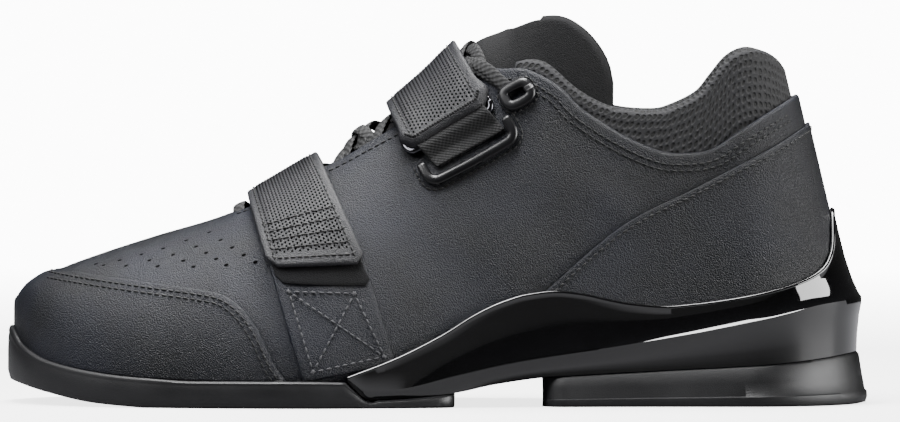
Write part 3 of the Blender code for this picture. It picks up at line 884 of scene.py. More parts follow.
class Wiring:
    """Adds and links the nodes of one shader tree."""

    def __init__(self, tree: bpy.types.NodeTree) -> None:
        """Keeps the tree."""
        self.tree = tree

    def node(
        self, kind: str, inputs: dict[str | int, object] | None = None, **settings: object
    ) -> bpy.types.Node:
        """A new node.

        Args:
            kind: Its type.
            inputs: Values or sockets for its inputs, by name or number.
            settings: Its properties.

        Returns:
            The node.
        """
        made = self.tree.nodes.new(kind)
        for name, value in settings.items():
            setattr(made, name, value)
        for key, value in (inputs or {}).items():
            if isinstance(value, bpy.types.NodeSocket):
                self.tree.links.new(value, made.inputs[key])
            else:
                made.inputs[key].default_value = value
        return made

    def calc(self, operation: str, a: object, b: object = 0.0) -> bpy.types.NodeSocket:
        """The result of one sum on values or sockets."""
        return self.node("ShaderNodeMath", {0: a, 1: b}, operation=operation).outputs[0]

    def blend(self, share: object, low: object, high: object) -> bpy.types.NodeSocket:
        """A mix of two colours.

        Args:
            share: How much of the second one.
            low: The first colour.
            high: The second colour.

        Returns:
            The mixed colour's socket.
        """
        made = self.node("ShaderNodeMix", data_type="RGBA")
        for k, value in ((0, share), (6, low), (7, high)):
            if isinstance(value, bpy.types.NodeSocket):
                self.tree.links.new(value, made.inputs[k])
            elif k:
                made.inputs[k].default_value = (*value, 1)
            else:
                made.inputs[k].default_value = value
        return made.outputs[2]

    def map(
        self, value: object, low: float, high: float, from_low: float = 0.0, from_high: float = 1.0
    ) -> bpy.types.NodeSocket:
        """A value moved from one range to another."""
        inputs = {0: value, 1: from_low, 2: from_high, 3: low, 4: high}
        return self.node("ShaderNodeMapRange", inputs).outputs[0]


def shader_group(name: str, inputs: Sequence[tuple[str, float]], outputs: Sequence[tuple[str, str]]) -> tuple:
    """An empty shader node group.

    Args:
        name: Its name.
        inputs: Value inputs and their defaults.
        outputs: Output names and socket types.

    Returns:
        The group's wiring, its input node and its output node.
    """
    tree = bpy.data.node_groups.new(name, "ShaderNodeTree")
    for label, value in inputs:
        tree.interface.new_socket(label, in_out="INPUT", socket_type="NodeSocketFloat").default_value = value
    for label, kind in outputs:
        tree.interface.new_socket(label, in_out="OUTPUT", socket_type=kind)
    wiring = Wiring(tree)
    return wiring, wiring.node("NodeGroupInput"), wiring.node("NodeGroupOutput")


class Effects:
    """The shader groups that several finishes use."""

    def __init__(self) -> None:
        """Builds the groups."""
        self.grain = self.make_grain()
        self.weave = self.make_weave()
        self.scuff = self.make_scuff()

    @staticmethod
    def make_grain() -> bpy.types.NodeTree:
        """Leather or moulded grain: rounded cells broken up by fine noise."""
        w, given, result = shader_group(
            "Grain",
            (("Cells", 1500.0), ("Depth", 0.3)),
            (("Height", "NodeSocketFloat"), ("Normal", "NodeSocketVector")),
        )
        place = w.node("ShaderNodeTexCoord").outputs["Object"]
        count = given.outputs["Cells"]
        cells = w.node("ShaderNodeTexVoronoi", {"Vector": place, "Scale": count}, feature="SMOOTH_F1")
        fine = w.node(
            "ShaderNodeTexNoise", {"Vector": place, "Scale": w.calc("MULTIPLY", count, 1.7), "Detail": 3.0}
        )
        height = w.calc("ADD", w.calc("MULTIPLY", cells.outputs["Distance"], -0.9), fine.outputs["Fac"])
        bump = w.node(
            "ShaderNodeBump", {"Strength": given.outputs["Depth"], "Distance": 0.0004, "Height": height}
        )
        w.tree.links.new(height, result.inputs["Height"])
        w.tree.links.new(bump.outputs["Normal"], result.inputs["Normal"])
        return w.tree

    @staticmethod
    def make_weave() -> bpy.types.NodeTree:
        """Plain weave on a piece's own UV, whose units are metres."""
        w, given, result = shader_group(
            "Weave",
            (("Threads", 1400.0), ("Depth", 0.5)),
            (("Mask", "NodeSocketFloat"), ("Normal", "NodeSocketVector")),
        )
        place = w.node("ShaderNodeTexCoord").outputs["UV"]
        parts = w.node("ShaderNodeSeparateXYZ", {0: place})
        turn = w.calc("MULTIPLY", given.outputs["Threads"], math.pi)
        across = w.calc("SINE", w.calc("MULTIPLY", parts.outputs["X"], turn))
        along = w.calc("SINE", w.calc("MULTIPLY", parts.outputs["Y"], turn))
        over = w.calc("MULTIPLY", across, along)
        mask = w.map(over, 0.0, 1.0, -1.0, 1.0)
        depth = given.outputs["Depth"]
        bump = w.node("ShaderNodeBump", {"Strength": depth, "Distance": 0.0003, "Height": mask})
        w.tree.links.new(mask, result.inputs["Mask"])
        w.tree.links.new(bump.outputs["Normal"], result.inputs["Normal"])
        return w.tree

    @staticmethod
    def make_scuff() -> bpy.types.NodeTree:
        """Slow patches of handling wear, for colour and gloss that vary over a surface."""
        w, given, result = shader_group("Handling", (("Size", 30.0),), (("Mask", "NodeSocketFloat"),))
        place = w.node("ShaderNodeTexCoord").outputs["Object"]
        size = given.outputs["Size"]
        patches = w.node("ShaderNodeTexNoise", {"Vector": place, "Scale": size, "Detail": 5.0})
        w.tree.links.new(w.map(patches.outputs["Fac"], 0.0, 1.0, 0.35, 0.68), result.inputs["Mask"])
        return w.tree


@dataclass(frozen=True)
class Finish:
    """One surface: two tones that wander, gloss that varies, and a grain or weave."""

    name: str
    dark: tuple[float, float, float]
    light: tuple[float, float, float]
    rough: tuple[float, float]
    cells: float = 1500.0
    depth: float = 0.3
    woven: bool = False
    threads: float = 1400.0
    metallic: float = 0.0
    coat: float = 0.0
    coat_rough: float = 0.1
    sheen: float = 0.0
    specular: float = 0.5
    patches: float = 30.0

    def build(self, effects: Effects) -> bpy.types.Material:
        """The material.

        Args:
            effects: The shared shader groups.

        Returns:
            A new material.
        """
        made = bpy.data.materials.new(self.name)
        made.use_nodes = True
        w = Wiring(made.node_tree)
        shader = made.node_tree.nodes["Principled BSDF"]
        scuff = w.node("ShaderNodeGroup", {}, node_tree=effects.scuff)
        scuff.inputs["Size"].default_value = self.patches
        if self.woven:
            relief = w.node("ShaderNodeGroup", {}, node_tree=effects.weave)
            relief.inputs["Threads"].default_value = self.threads
            share = w.calc("MULTIPLY", relief.outputs["Mask"], w.map(scuff.outputs["Mask"], 0.7, 1.0))
        else:
            relief = w.node("ShaderNodeGroup", {}, node_tree=effects.grain)
            relief.inputs["Cells"].default_value = self.cells
            share = w.calc("ADD", w.calc("MULTIPLY", relief.outputs["Height"], 0.9), scuff.outputs["Mask"])
            share = w.calc("MULTIPLY", share, 0.6)
        relief.inputs["Depth"].default_value = self.depth
        links = made.node_tree.links
        links.new(w.blend(share, self.dark, self.light), shader.inputs["Base Color"])
        links.new(w.map(scuff.outputs["Mask"], *self.rough), shader.inputs["Roughness"])
        links.new(relief.outputs["Normal"], shader.inputs["Normal"])
        for label, value in (
            ("Metallic", self.metallic),
            ("Coat Weight", self.coat),
            ("Coat Roughness", self.coat_rough),
            ("Sheen Weight", self.sheen),
            ("Sheen Roughness", 0.5),
            ("Specular IOR Level", self.specular),
        ):
            shader.inputs[label].default_value = value
        return made


@dataclass(frozen=True)
class KnitFinish:
    """Spacer mesh: rounded knit cells with holes darkened by painted shade, read from the piece's own UV."""

    name: str = "collar_mesh"
    cell: float = 0.0021

    def build(self) -> bpy.types.Material:
        """The material."""
        made = bpy.data.materials.new(self.name)
        made.use_nodes = True
        w = Wiring(made.node_tree)
        shader = made.node_tree.nodes["Principled BSDF"]
        place = w.node("ShaderNodeTexCoord").outputs["UV"]
        stretch = (1 / self.cell, 0.72 / self.cell, 1.0)
        scaled = w.node("ShaderNodeMapping", {"Vector": place, "Scale": stretch})
        holes = w.node(
            "ShaderNodeTexVoronoi",
            {"Vector": scaled.outputs[0], "Scale": 1.0, "Randomness": 0.28},
            feature="F1",
        )
        open_share = w.map(holes.outputs["Distance"], 0.0, 1.0, 0.26, 0.46)
        threads = w.node("ShaderNodeTexNoise", {"Vector": scaled.outputs[0], "Scale": 7.0, "Detail": 2.0})
        height = w.calc("ADD", open_share, w.calc("MULTIPLY", threads.outputs["Fac"], 0.3))
        links = made.node_tree.links
        # painted shade: the colour darkens towards each hole's middle, where the bump sinks
        colour = w.blend(open_share, (0.002, 0.002, 0.002), (0.020, 0.020, 0.023))
        links.new(colour, shader.inputs["Base Color"])
        links.new(w.map(threads.outputs["Fac"], 0.65, 0.95), shader.inputs["Roughness"])
        bump = w.node("ShaderNodeBump", {"Strength": 0.9, "Distance": 0.0006, "Height": height})
        links.new(bump.outputs["Normal"], shader.inputs["Normal"])
        return made


class Finishes:
    """Every finish of the shoe, built once."""

    def __init__(self) -> None:
        """Builds them."""
        effects = Effects()
        self.leather = Finish(
            "leather", (0.002, 0.0024, 0.004), (0.014, 0.0165, 0.030), (0.33, 0.42), cells=2300.0, depth=0.75,
            specular=0.36,
        ).build(effects)  # fmt: skip
        self.strap = Finish(
            "strap_leather", (0.011, 0.011, 0.0135), (0.030, 0.030, 0.036), (0.38, 0.48),
            cells=2000.0, depth=0.6,
        ).build(effects)  # fmt: skip
        self.webbing = Finish(
            "webbing", (0.004, 0.004, 0.004), (0.022, 0.022, 0.024), (0.7, 0.9),
            woven=True, threads=1300.0, depth=0.8,
        ).build(effects)  # fmt: skip
        self.lace = Finish(
            "lace_braid", (0.004, 0.004, 0.004), (0.026, 0.026, 0.028), (0.6, 0.85),
            woven=True, threads=900.0,
            depth=0.9,
        ).build(effects)  # fmt: skip
        self.suede = Finish(
            "tongue_suede", (0.003, 0.003, 0.0035), (0.010, 0.010, 0.012), (0.7, 0.9),
            cells=2400.0, depth=0.6,
            specular=0.25,
        ).build(effects)  # fmt: skip
        self.insole = Finish(
            "insole_cloth", (0.015, 0.015, 0.016), (0.030, 0.030, 0.032), (0.85, 0.95),
            cells=2600.0, depth=0.4,
        ).build(effects)  # fmt: skip
        self.rubber = Finish(
            "rubber", (0.006, 0.006, 0.007), (0.014, 0.014, 0.016), (0.40, 0.56), cells=3000.0, depth=0.15,
        ).build(effects)  # fmt: skip
        self.gloss = Finish(
            "gloss_shell", (0.003, 0.003, 0.0035), (0.006, 0.006, 0.007), (0.05, 0.09),
            cells=400.0, depth=0.004,
            coat=1.0, coat_rough=0.03,
        ).build(effects)  # fmt: skip
        self.moulding = Finish(
            "moulding", (0.006, 0.006, 0.007), (0.014, 0.014, 0.016), (0.22, 0.35), cells=4000.0, depth=0.04,
        ).build(effects)  # fmt: skip
        self.ring = Finish(
            "dark_steel", (0.10, 0.10, 0.11), (0.16, 0.16, 0.18), (0.08, 0.16),
            cells=2500.0, depth=0.01, metallic=1.0,
        ).build(effects)  # fmt: skip
        self.thread = Finish(
            "thread", (0.002, 0.002, 0.002), (0.007, 0.007, 0.008), (0.45, 0.6), cells=6000.0, depth=0.3,
        ).build(effects)  # fmt: skip
        self.pale_thread = Finish(
            "pale_thread", (0.060, 0.060, 0.066), (0.120, 0.120, 0.130), (0.45, 0.6), cells=6000.0, depth=0.3,
        ).build(effects)  # fmt: skip
        # near-black and matte: painted shade that stands for the insides of punched holes and embossed dents
        self.hole_shade = Finish(
            "hole_shade", (0.001, 0.001, 0.001), (0.002, 0.002, 0.002), (0.9, 1.0),
            cells=2000.0, depth=0.1, specular=0.05,
        ).build(effects)  # fmt: skip
        self.mesh = KnitFinish().build()


# Sub-assemblies


@dataclass
class Upper:
    """The leather shell with its toe cap, counter and strap base, holes and seams."""

    finishes: Finishes
    repeats: Repeats
    stations: int = 170
    arch: int = 58
    seat: float = SIZES.clearance

    def relief(self, t: Array, angle: Array) -> Array:
        """Soft troughs and ridges in the leather, at listed places.

        Args:
            t: Stations.
            angle: Angles.

        Returns:
            Height to add, in metres.
        """
        place = LAST.place(t, angle)
        x, z = place[..., 0], place[..., 2]
        height = np.zeros_like(x)
        for (x0, z0), (x1, z1), wide, deep in (
            ((-0.070, 0.052), (-0.056, 0.030), 0.0050, -0.0005),
            ((-0.052, 0.050), (-0.040, 0.018), 0.0070, -0.0005),
            ((-0.010, 0.062), (0.022, 0.030), 0.0090, -0.0006),
            ((0.028, 0.078), (0.046, 0.052), 0.0080, -0.0005),
            ((0.052, 0.080), (0.070, 0.060), 0.0050, 0.0004),
        ):
            run = np.array((x1 - x0, z1 - z0))
            share = np.clip(((x - x0) * run[0] + (z - z0) * run[1]) / run.dot(run), 0, 1)
            away = np.hypot(x - x0 - share * run[0], z - z0 - share * run[1])
            height += deep * np.exp(-((away / wide) ** 2)) * np.sin(np.pi * np.clip(share * 0.9 + 0.05, 0, 1))
        return height

    def edge_angle(self, t: Array) -> Array:
        """The angle of the upper's top edge on the lateral side.

        Args:
            t: Stations.

        Returns:
            One angle for each station.
        """
        at = LAST.share_at(t)
        line = curve_through(COLLAR_EDGE, 12)
        line = np.concatenate((line, line[-1:] + np.array(((0.02, 0.004),))))
        line_t, line_angle = LAST.from_side(line, Side.LATERAL)
        rising = np.maximum.accumulate(line_t + np.arange(len(line_t)) * 1e-9)
        collar = np.interp(t, rising, line_angle, left=np.pi / 2)
        return np.minimum(LAST.throat_angle(at), np.where(at < COLLAR_EDGE[0][0], np.pi / 2, collar))

    def shell(self) -> bpy.types.Object:
        """The shell: one grid whose two halves meet ahead of the throat."""
        throat = float(LAST.t_at(THROAT[0][0]))
        ahead = 60  # stations ahead of the throat
        before = np.linspace(0, throat, ahead, endpoint=False)
        behind = throat + (1 - throat) * np.linspace(0, 1, self.stations - ahead) ** 1.15
        t = np.concatenate((before, behind))[:, None]
        edge = self.edge_angle(t)
        v = np.linspace(0, 1, self.arch)[None, :]
        v = 1 - (1 - v) ** 1.15
        lateral = edge * v
        angle = np.concatenate((lateral, np.pi - lateral[:, ::-1]), axis=1)
        stations = np.broadcast_to(t, angle.shape)
        outer = LAST.lay(stations, angle, self.relief(stations, angle))
        inner = LAST.lay(stations, angle, -SIZES.wall)
        cells = np.ones((len(t) - 1, angle.shape[1] - 1), dtype=bool)
        cells[:, self.arch - 1] = False
        return slab("upper_shell", outer, inner, self.finishes.leather, cells)

    def toe_cap(self) -> bpy.types.Object:
        """The toe cap, as a fan of rows of even angle from the pole of the toe."""
        edge = curve_through(TOE_CAP_EDGE, 8)
        t, angle = LAST.from_side(edge, Side.LATERAL)
        angle[0] = np.pi / 2
        order = np.argsort(angle)
        t, angle = t[order], np.maximum.accumulate(angle[order])
        stations = np.concatenate((t, t[::-1][1:]))
        angles = np.concatenate((angle, np.pi - angle[::-1][1:]))
        along = np.linspace(0, 1, 56)[None, :]
        grid_t = stations[:, None] * along
        grid_angle = np.broadcast_to(angles[:, None], grid_t.shape)
        on_top = ease(1.0, 1.45, grid_angle) * ease(1.0, 1.45, np.pi - grid_angle)
        thinned = 1 - 0.7 * ease(0.86, 1.0, along) * on_top  # the edge runs out thin over the toe
        outer = LAST.lay(grid_t, grid_angle, self.seat + SIZES.overlay * thinned)
        inner = LAST.lay(grid_t, grid_angle, self.seat * 0.3)
        return slab("toe_cap_leather", outer, inner, self.finishes.leather, bulge=0.6)

    def counter(self) -> bpy.types.Object:
        """The heel counter, round the back of the heel."""
        edge = curve_through(COUNTER_EDGE, 8)
        t, angle = LAST.from_side(edge, Side.LATERAL)
        keep = t < 0.995
        edge = np.concatenate((edge[keep], edge[keep][-1:] + np.array(((0.004, 0.001),))))
        t, angle = LAST.from_side(edge, Side.LATERAL)
        t[-1] = 1.0
        rows = np.linspace(0, 1, 30)[None, :]
        lateral_angle = angle[:, None] * (1 - rows)
        stations = np.broadcast_to(t[:, None], lateral_angle.shape)
        stations = np.concatenate((stations, stations[::-1][1:]))
        angles = np.concatenate((lateral_angle, np.pi - lateral_angle[::-1][1:]))
        lift = self.relief(stations, angles)
        outer = LAST.lay(stations, angles, lift + self.seat + SIZES.overlay)
        inner = LAST.lay(stations, angles, lift + self.seat * 0.3)
        return slab("heel_counter", outer, inner, self.finishes.leather, bulge=0.6)

    def strap_base(self) -> bpy.types.Object:
        """The reinforcement that the forefoot strap closes over."""
        grid = side_grid(((0.347, 0.069), (0.449, 0.115), (0.407, 0.420), (0.300, 0.420)), 24, 34)
        t, angle = LAST.from_side(grid, Side.LATERAL)
        lift = self.relief(t, angle)
        outer = LAST.lay(t, angle, lift + self.seat + SIZES.overlay)
        inner = LAST.lay(t, angle, lift + self.seat * 0.3)
        return slab("strap_base_leather", outer, inner, self.finishes.leather, bulge=0.6)

    def holes(self) -> bpy.types.Object:
        """Punched air holes over the vamp, in fanned rows on both sides, as near-black discs of painted
        shade.
        """
        rows = (  # slanted rows: where each starts and ends, and its holes
            (0.2362, 0.4377, 0.2903, 0.3664, 5),
            (0.2097, 0.4173, 0.2569, 0.3588, 5),
            (0.1832, 0.3969, 0.2189, 0.3537, 4),
            (0.1578, 0.3817, 0.1774, 0.3537, 3),
            (0.1325, 0.3664, 0.1406, 0.3537, 2),
            (0.1048, 0.3562, 0.1141, 0.3537, 2),
        )
        spots = [
            side_spot(at0 + (at1 - at0) * k / (count - 1), up0 + (up1 - up0) * k / (count - 1))
            for at0, up0, at1, up1, count in rows
            for k in range(count)
        ]
        places, outs, alongs = [], [], []
        for side in Side:
            t, angle = LAST.from_side(np.array(spots), side)
            places.append(LAST.lay(t, angle, 0.00004))
            outs.append(LAST.out(t, angle))
            alongs.append(LAST.place(t + 0.01, angle) - LAST.place(t - 0.01, angle))
        size = (0.0017, 0.0012, 0.00022)
        joined = [np.concatenate(group) for group in (places, outs, alongs)]
        # the discs are painted shade in place of the holes' depth
        return self.repeats.studs("vamp_holes", *joined, size, self.finishes.hole_shade)

    def seams(self) -> bpy.types.Object:
        """Every stitched line of the upper."""
        raised = self.seat + SIZES.overlay + 0.00012
        lines = []
        for side in Side:
            toe = curve_through(TOE_CAP_EDGE, 8)
            for distance in (0.0016, 0.0034):
                lines.append(LAST.side_line(inset(toe, distance), side, raised))
            collar = curve_through(COLLAR_EDGE, 8)[10:-12]
            for distance in (0.0030, 0.0052):
                lines.append(LAST.side_line(inset(collar, distance), side, 0.00015))
            counter = curve_through(COUNTER_EDGE, 8)[2:-8]
            lines.append(LAST.side_line(inset(counter, 0.0016), side, raised))
            t = np.linspace(float(LAST.t_at(0.27)), float(LAST.t_at(0.548)), 60)
            edge = LAST.throat_angle(LAST.share_at(t)) - 0.085
            edge = edge if side is Side.LATERAL else np.pi - edge
            lines.append(LAST.lay(t, edge, 0.00012))
        return self.repeats.stitches("upper_stitches", lines, self.finishes.thread)

    def box_seams(self) -> bpy.types.Object:
        """The stitched box and cross on the strap base, in paler thread."""
        raised = self.seat + SIZES.overlay + 0.00012
        lines = []
        box = ((0.357, 0.092), (0.438, 0.130), (0.404, 0.286), (0.330, 0.290))
        corners = np.array(box + box[:1])
        crosses = [corners[[0, 2]], corners[[1, 3]]]
        for path in [corners[k : k + 2] for k in range(4)] + crosses:
            spots = path[0] + (path[1] - path[0]) * np.linspace(0, 1, 16)[:, None]
            line = np.stack(((spots[:, 0] - 0.5) * SIZES.length, spots[:, 1] * SIZES.height), axis=1)
            lines.append(LAST.side_line(line, Side.LATERAL, raised))
        return self.repeats.stitches("strap_base_stitches", lines, self.finishes.pale_thread)

    def build(self) -> None:
        """Makes and ties every piece."""
        dress(self.shell(), "leather", "upper")
        dress(self.toe_cap(), "leather", "toe_cap")
        dress(self.counter(), "leather", "counter")
        dress(self.strap_base(), "leather", "strap_base")
        dress(self.holes(), "leather")
        dress(self.seams(), "leather")
        dress(self.box_seams(), "leather")


def side_grid(corners: Sequence[tuple[float, float]], across: int, along: int) -> Array:
    """A grid of side-view places inside four corners.

    Args:
        corners: Lower toe, lower heel, upper heel and upper toe corner, as shares.
        across: Points from toe to heel.
        along: Points from bottom to top.

    Returns:
        Rows by columns of (x, z) in metres.
    """
    scale = np.array((SIZES.length, SIZES.height))
    a, b, c, d = ((np.array(corner) - np.array((0.5, 0))) * scale for corner in corners)
    u = np.linspace(0, 1, across)[:, None, None]
    v = np.linspace(0, 1, along)[None, :, None]
    return (a + (b - a) * u) * (1 - v) + (d + (c - d) * u) * v


@dataclass
class Strap:
    """One hook-and-loop strap over the foot."""

    name: str
    lateral: Sequence[tuple[float, float]]
    medial: Sequence[tuple[float, float]]
    lateral_seat: float
    folded: bool
    finishes: Finishes
    repeats: Repeats
    chamfer: float = 0.0030
    across: int = 34
    along: int = 150
    margin: float = 0.12

    def seat(self, angle: Array) -> Array:
        """How far the strap's underside stands off the upper.

        Args:
            angle: Angles about the length.

        Returns:
            One height for each angle.
        """
        low = 2 * SIZES.clearance + SIZES.overlay
        medial = np.clip((angle - 0.62 * np.pi) / (0.25 * np.pi), 0, 1)
        lateral = np.clip((0.46 * np.pi - angle) / (0.15 * np.pi), 0, 1)
        throat = np.clip(1 - ((angle / np.pi - 0.5) / 0.2) ** 2, 0, 1)
        top = low + 0.0007 * throat + (self.lateral_seat - low) * lateral
        return top + (SIZES.clearance - top) * medial

    def cross(self, u: Array, v: Array) -> tuple[Array, Array]:
        """Where on the last a place of the strap lies.

        Args:
            u: From 0 at the toe-side edge to 1 at the heel-side edge.
            v: From -1 at the lateral end over the top to 1 at the medial end.

        Returns:
            Stations and angles.
        """
        scale = np.array((SIZES.length, SIZES.height))
        answers = []
        u, v = np.broadcast_arrays(u, v)
        ends = []
        for side, corners in ((Side.LATERAL, self.lateral), (Side.MEDIAL, self.medial)):
            a, b, c, d = ((np.array(corner) - np.array((0.5, 0))) * scale for corner in corners)
            low = a + (b - a) * u[..., None]
            high = d + (c - d) * u[..., None]
            run = (high - low) / np.linalg.norm(high - low, axis=-1, keepdims=True)
            wide = np.linalg.norm(b - a)
            from_edge = np.minimum(u, 1 - u) * wide
            low = low + run * np.clip(self.chamfer - from_edge, 0, None)[..., None]
            ends.append(LAST.from_side(low, side)[1])
            answers.append((low, (high - low)))
        angle = np.where(v < 0, np.pi / 2 + (np.pi / 2 - ends[0]) * v, np.pi / 2 + (ends[1] - np.pi / 2) * v)
        found = []
        for low, run in answers:
            slope = run[..., 0] / run[..., 1]
            at = low[..., 0] / SIZES.length + 0.5
            for _ in range(40):
                feather = LAST.column("feather", at) * SIZES.height
                crown = LAST.column("crown", at) * SIZES.height
                z = feather + (crown - feather) * np.sin(angle) ** (2 / LAST.column("square", at))
                wanted = (low[..., 0] + slope * (z - low[..., 1])) / SIZES.length + 0.5
                at = at + (wanted - at) * 0.5
            found.append(at)
        side = ease(0.36 * np.pi, 0.64 * np.pi, angle)
        return LAST.t_at(found[0] + (found[1] - found[0]) * side), angle

    def top(self, u: Array, v: Array, extra: float = 0.0) -> Array:
        """Points of the strap's outer face, or a little above it."""
        t, angle = self.cross(u, v)
        u = np.broadcast_to(u, t.shape)
        edge = np.minimum(u, 1 - u)
        crowned = SIZES.strap * (0.86 + 0.14 * ease(self.margin - 0.03, self.margin + 0.02, edge))
        return LAST.lay(t, angle, self.seat(angle) + crowned + extra)

    def body(self) -> bpy.types.Object:
        """The strap itself."""
        u = np.linspace(0, 1, self.across)[:, None]
        v = np.linspace(-1, 1, self.along)[None, :]
        outer = self.top(u, v)
        t, angle = self.cross(u, v)
        seat = self.seat(angle)
        if self.folded:
            near_end = 1 - ease(-1.0, -0.86, np.broadcast_to(v, t.shape))
            seat = seat + (SIZES.clearance - seat) * near_end
        inner = LAST.lay(t, angle, seat)
        made = slab(self.name + "_body", outer, inner, self.finishes.strap, bulge=0.9, uv=sheet_uv(outer))
        return made

    def dots(self) -> bpy.types.Object:
        """Embossed rows of short dashes over the middle of the strap, as near-black beads of painted shade.
        """
        rows, pitch = 19, 0.0016
        low, high = self.margin, 1 - self.margin
        first, last = (-0.93, 0.95) if not self.folded else (-0.95, 0.95)
        fine = np.linspace(first, last, 240)
        places, outs, alongs = [], [], []
        for k in range(rows):
            u = low + (high - low) * k / (rows - 1)
            line = self.top(np.full_like(fine, u), fine)
            run = np.concatenate(([0], np.cumsum(np.linalg.norm(np.diff(line, axis=0), axis=1))))
            steps = np.arange(pitch * (0.25 + 0.5 * (k % 2)), run[-1], pitch)
            v = np.interp(steps, run, fine)
            t, angle = self.cross(np.full_like(v, u), v)
            here = self.top(np.full_like(v, u), v)
            ahead = self.top(np.full_like(v, u), v + 0.004)
            places.append(here)
            outs.append(LAST.out(t, angle))
            alongs.append(ahead - here)
        size = (0.00105, 0.00078, 0.00030)
        joined = [np.concatenate(group) for group in (places, outs, alongs)]
        # the beads' near-black colour is painted shade for the embossed dents
        return self.repeats.studs(self.name + "_dots", *joined, size, self.finishes.hole_shade)

    def seams(self) -> bpy.types.Object:
        """Stitching along both margins and, on the loose end, across it."""
        v = np.linspace(-0.97, 0.97, 160)
        edge = self.margin * 0.62
        lines = [self.top(np.full_like(v, u), v, 0.0001) for u in (edge, 1 - edge)]
        if not self.folded:
            u = np.linspace(edge, 1 - edge, 30)
            for v_row in (-0.965, -0.90, -0.83, -0.76, -0.69):
                lines.append(self.top(u, np.full_like(u, v_row), 0.0001))
        return self.repeats.stitches(self.name + "_stitches", lines, self.finishes.thread, 0.0022)

    def end_trim(self) -> bpy.types.Object:
        """What shows past the strap's end: the hook tape, or the woven edge of the fold."""
        u = np.linspace(0.03, 0.97, 40)[:, None]
        if self.folded:
            v = np.full_like(u[:, 0], -0.985)
            line = self.top(u[:, 0], v, 0.0002)
            size = (0.0011, 0.0011, 0.0009)
            return self.repeats.stitches(self.name + "_edge", [line], self.finishes.lace, 0.0010, size)
        v = np.linspace(-1.11, -0.9, 12)[None, :]
        t, angle = self.cross(u, v)
        outer = LAST.lay(t, angle, self.seat(angle) + 0.0001)
        inner = LAST.lay(t, angle, self.seat(angle) - 0.0009)
        return slab(self.name + "_tape", outer, inner, self.finishes.suede, bulge=0.4, uv=sheet_uv(outer))

    def build(self) -> None:
        """Makes and ties the strap."""
        dress(self.body(), "strap", self.name)
        dress(self.dots(), "strap")
        dress(self.seams(), "strap")
        dress(self.end_trim(), "webbing")


@dataclass
class Hardware:
    """Ring, slot frame and eyelets, with the webbing tab that holds the ring."""

    finishes: Finishes
    repeats: Repeats
    rise: float = math.radians(29)
    ring_radius: float = 0.0013
    ring_middle: tuple[float, float] = (0.512, 0.712)
    ring_half: tuple[float, float] = (0.0545, 0.0110)
    moulding_radius: float = 0.0012
    frame_middle: tuple[float, float] = (0.534, 0.652)
    frame_half: tuple[float, float] = (0.0560, 0.0175)
    eyelet_middle: tuple[float, float] = (0.592, 0.788)
    eyelet_half: tuple[float, float] = (0.0150, 0.0100)
    stitch_lift: float = 0.00015

    def loop(
        self,
        middle: tuple[float, float],
        half_size: tuple[float, float],
        side: Side,
        offset: float,
        turn: tuple[float, float] = (0.0, 360.0),
        steps: int = 72,
    ) -> tuple[Array, Array]:
        """A rounded slot's outline on the side of the last.

        Args:
            middle: Its centre, as shares.
            half_size: Half its length and half its width, as shares of the shoe's length.
            side: Which side it lies on.
            offset: Height above the upper.
            turn: Where it starts and ends, in degrees.
            steps: How many points.

        Returns:
            The points and the directions out of the upper.
        """
        half, wide = half_size
        full = turn[1] - turn[0] >= 360
        angle = np.radians(np.linspace(*turn, steps, endpoint=not full))
        along = (half - wide) * np.clip(2.2 * np.cos(angle), -1, 1) + wide * np.cos(angle)
        over = wide * np.sign(np.sin(angle)) * np.minimum(1, np.abs(np.sin(angle)) ** 0.6)
        x = along * math.cos(self.rise) - over * math.sin(self.rise)
        z = along * math.sin(self.rise) + over * math.cos(self.rise)
        line_x = (middle[0] + x - 0.5) * SIZES.length
        line_z = middle[1] * SIZES.height + z * SIZES.length
        line = np.stack((line_x, line_z), axis=1)
        t, angles = LAST.from_side(line, side)
        return LAST.lay(t, angles, offset), LAST.out(t, angles)

    def build(self) -> None:
        """Makes and ties the hardware."""
        gap, wide = SIZES.clearance, 2 * self.ring_radius
        path, out = self.loop(self.ring_middle, self.ring_half, Side.LATERAL, gap + self.ring_radius)
        dress(sweep("ring_steel", path, out, wide, wide, self.finishes.ring, True, 16), "ring", "strap_ring")
        wide = 2 * self.moulding_radius
        seat = gap + self.moulding_radius
        path, out = self.loop(self.frame_middle, self.frame_half, Side.LATERAL, seat, (170.0, 372.0))
        frame_rim = sweep("slot_frame_rim", path, out, wide * 1.5, wide, self.finishes.moulding)
        dress(frame_rim, "moulding", "slot_frame")
        for side, node in ((Side.LATERAL, "eyelet_lateral"), (Side.MEDIAL, "eyelet_medial")):
            path, out = self.loop(self.eyelet_middle, self.eyelet_half, side, seat, steps=48)
            rim = sweep(node + "_rim", path, out, wide * 1.5, wide, self.finishes.moulding, True, 14)
            dress(rim, "moulding", node)
        self.tab()
        lift = self.stitch_lift
        lines = [self.loop(self.frame_middle, (0.0655, 0.0265), Side.LATERAL, lift, (172.0, 370.0))[0]]
        for side in Side:
            lines.append(self.loop(self.eyelet_middle, (0.0225, 0.0170), side, lift)[0])
        dress(self.repeats.stitches("hardware_stitches", lines, self.finishes.thread, 0.0022), "leather")

    def tab(self) -> None:
        """The webbing under the ring."""
        grid = side_grid(((0.500, 0.606), (0.576, 0.700), (0.553, 0.757), (0.477, 0.655)), 34, 24)
        t, angle = LAST.from_side(grid, Side.LATERAL)
        over_bar = ease(0.30, 0.72, np.linspace(0, 1, 24))[None, :] * (2 * self.ring_radius + SIZES.clearance)
        outer = LAST.lay(t, angle, over_bar + SIZES.clearance + 0.0012)
        inner = LAST.lay(t, angle, over_bar + SIZES.clearance * 0.3)
        made = slab("ring_tab_webbing", outer, inner, self.finishes.webbing, bulge=0.6, uv=sheet_uv(outer))
        dress(made, "webbing", "ring_tab")


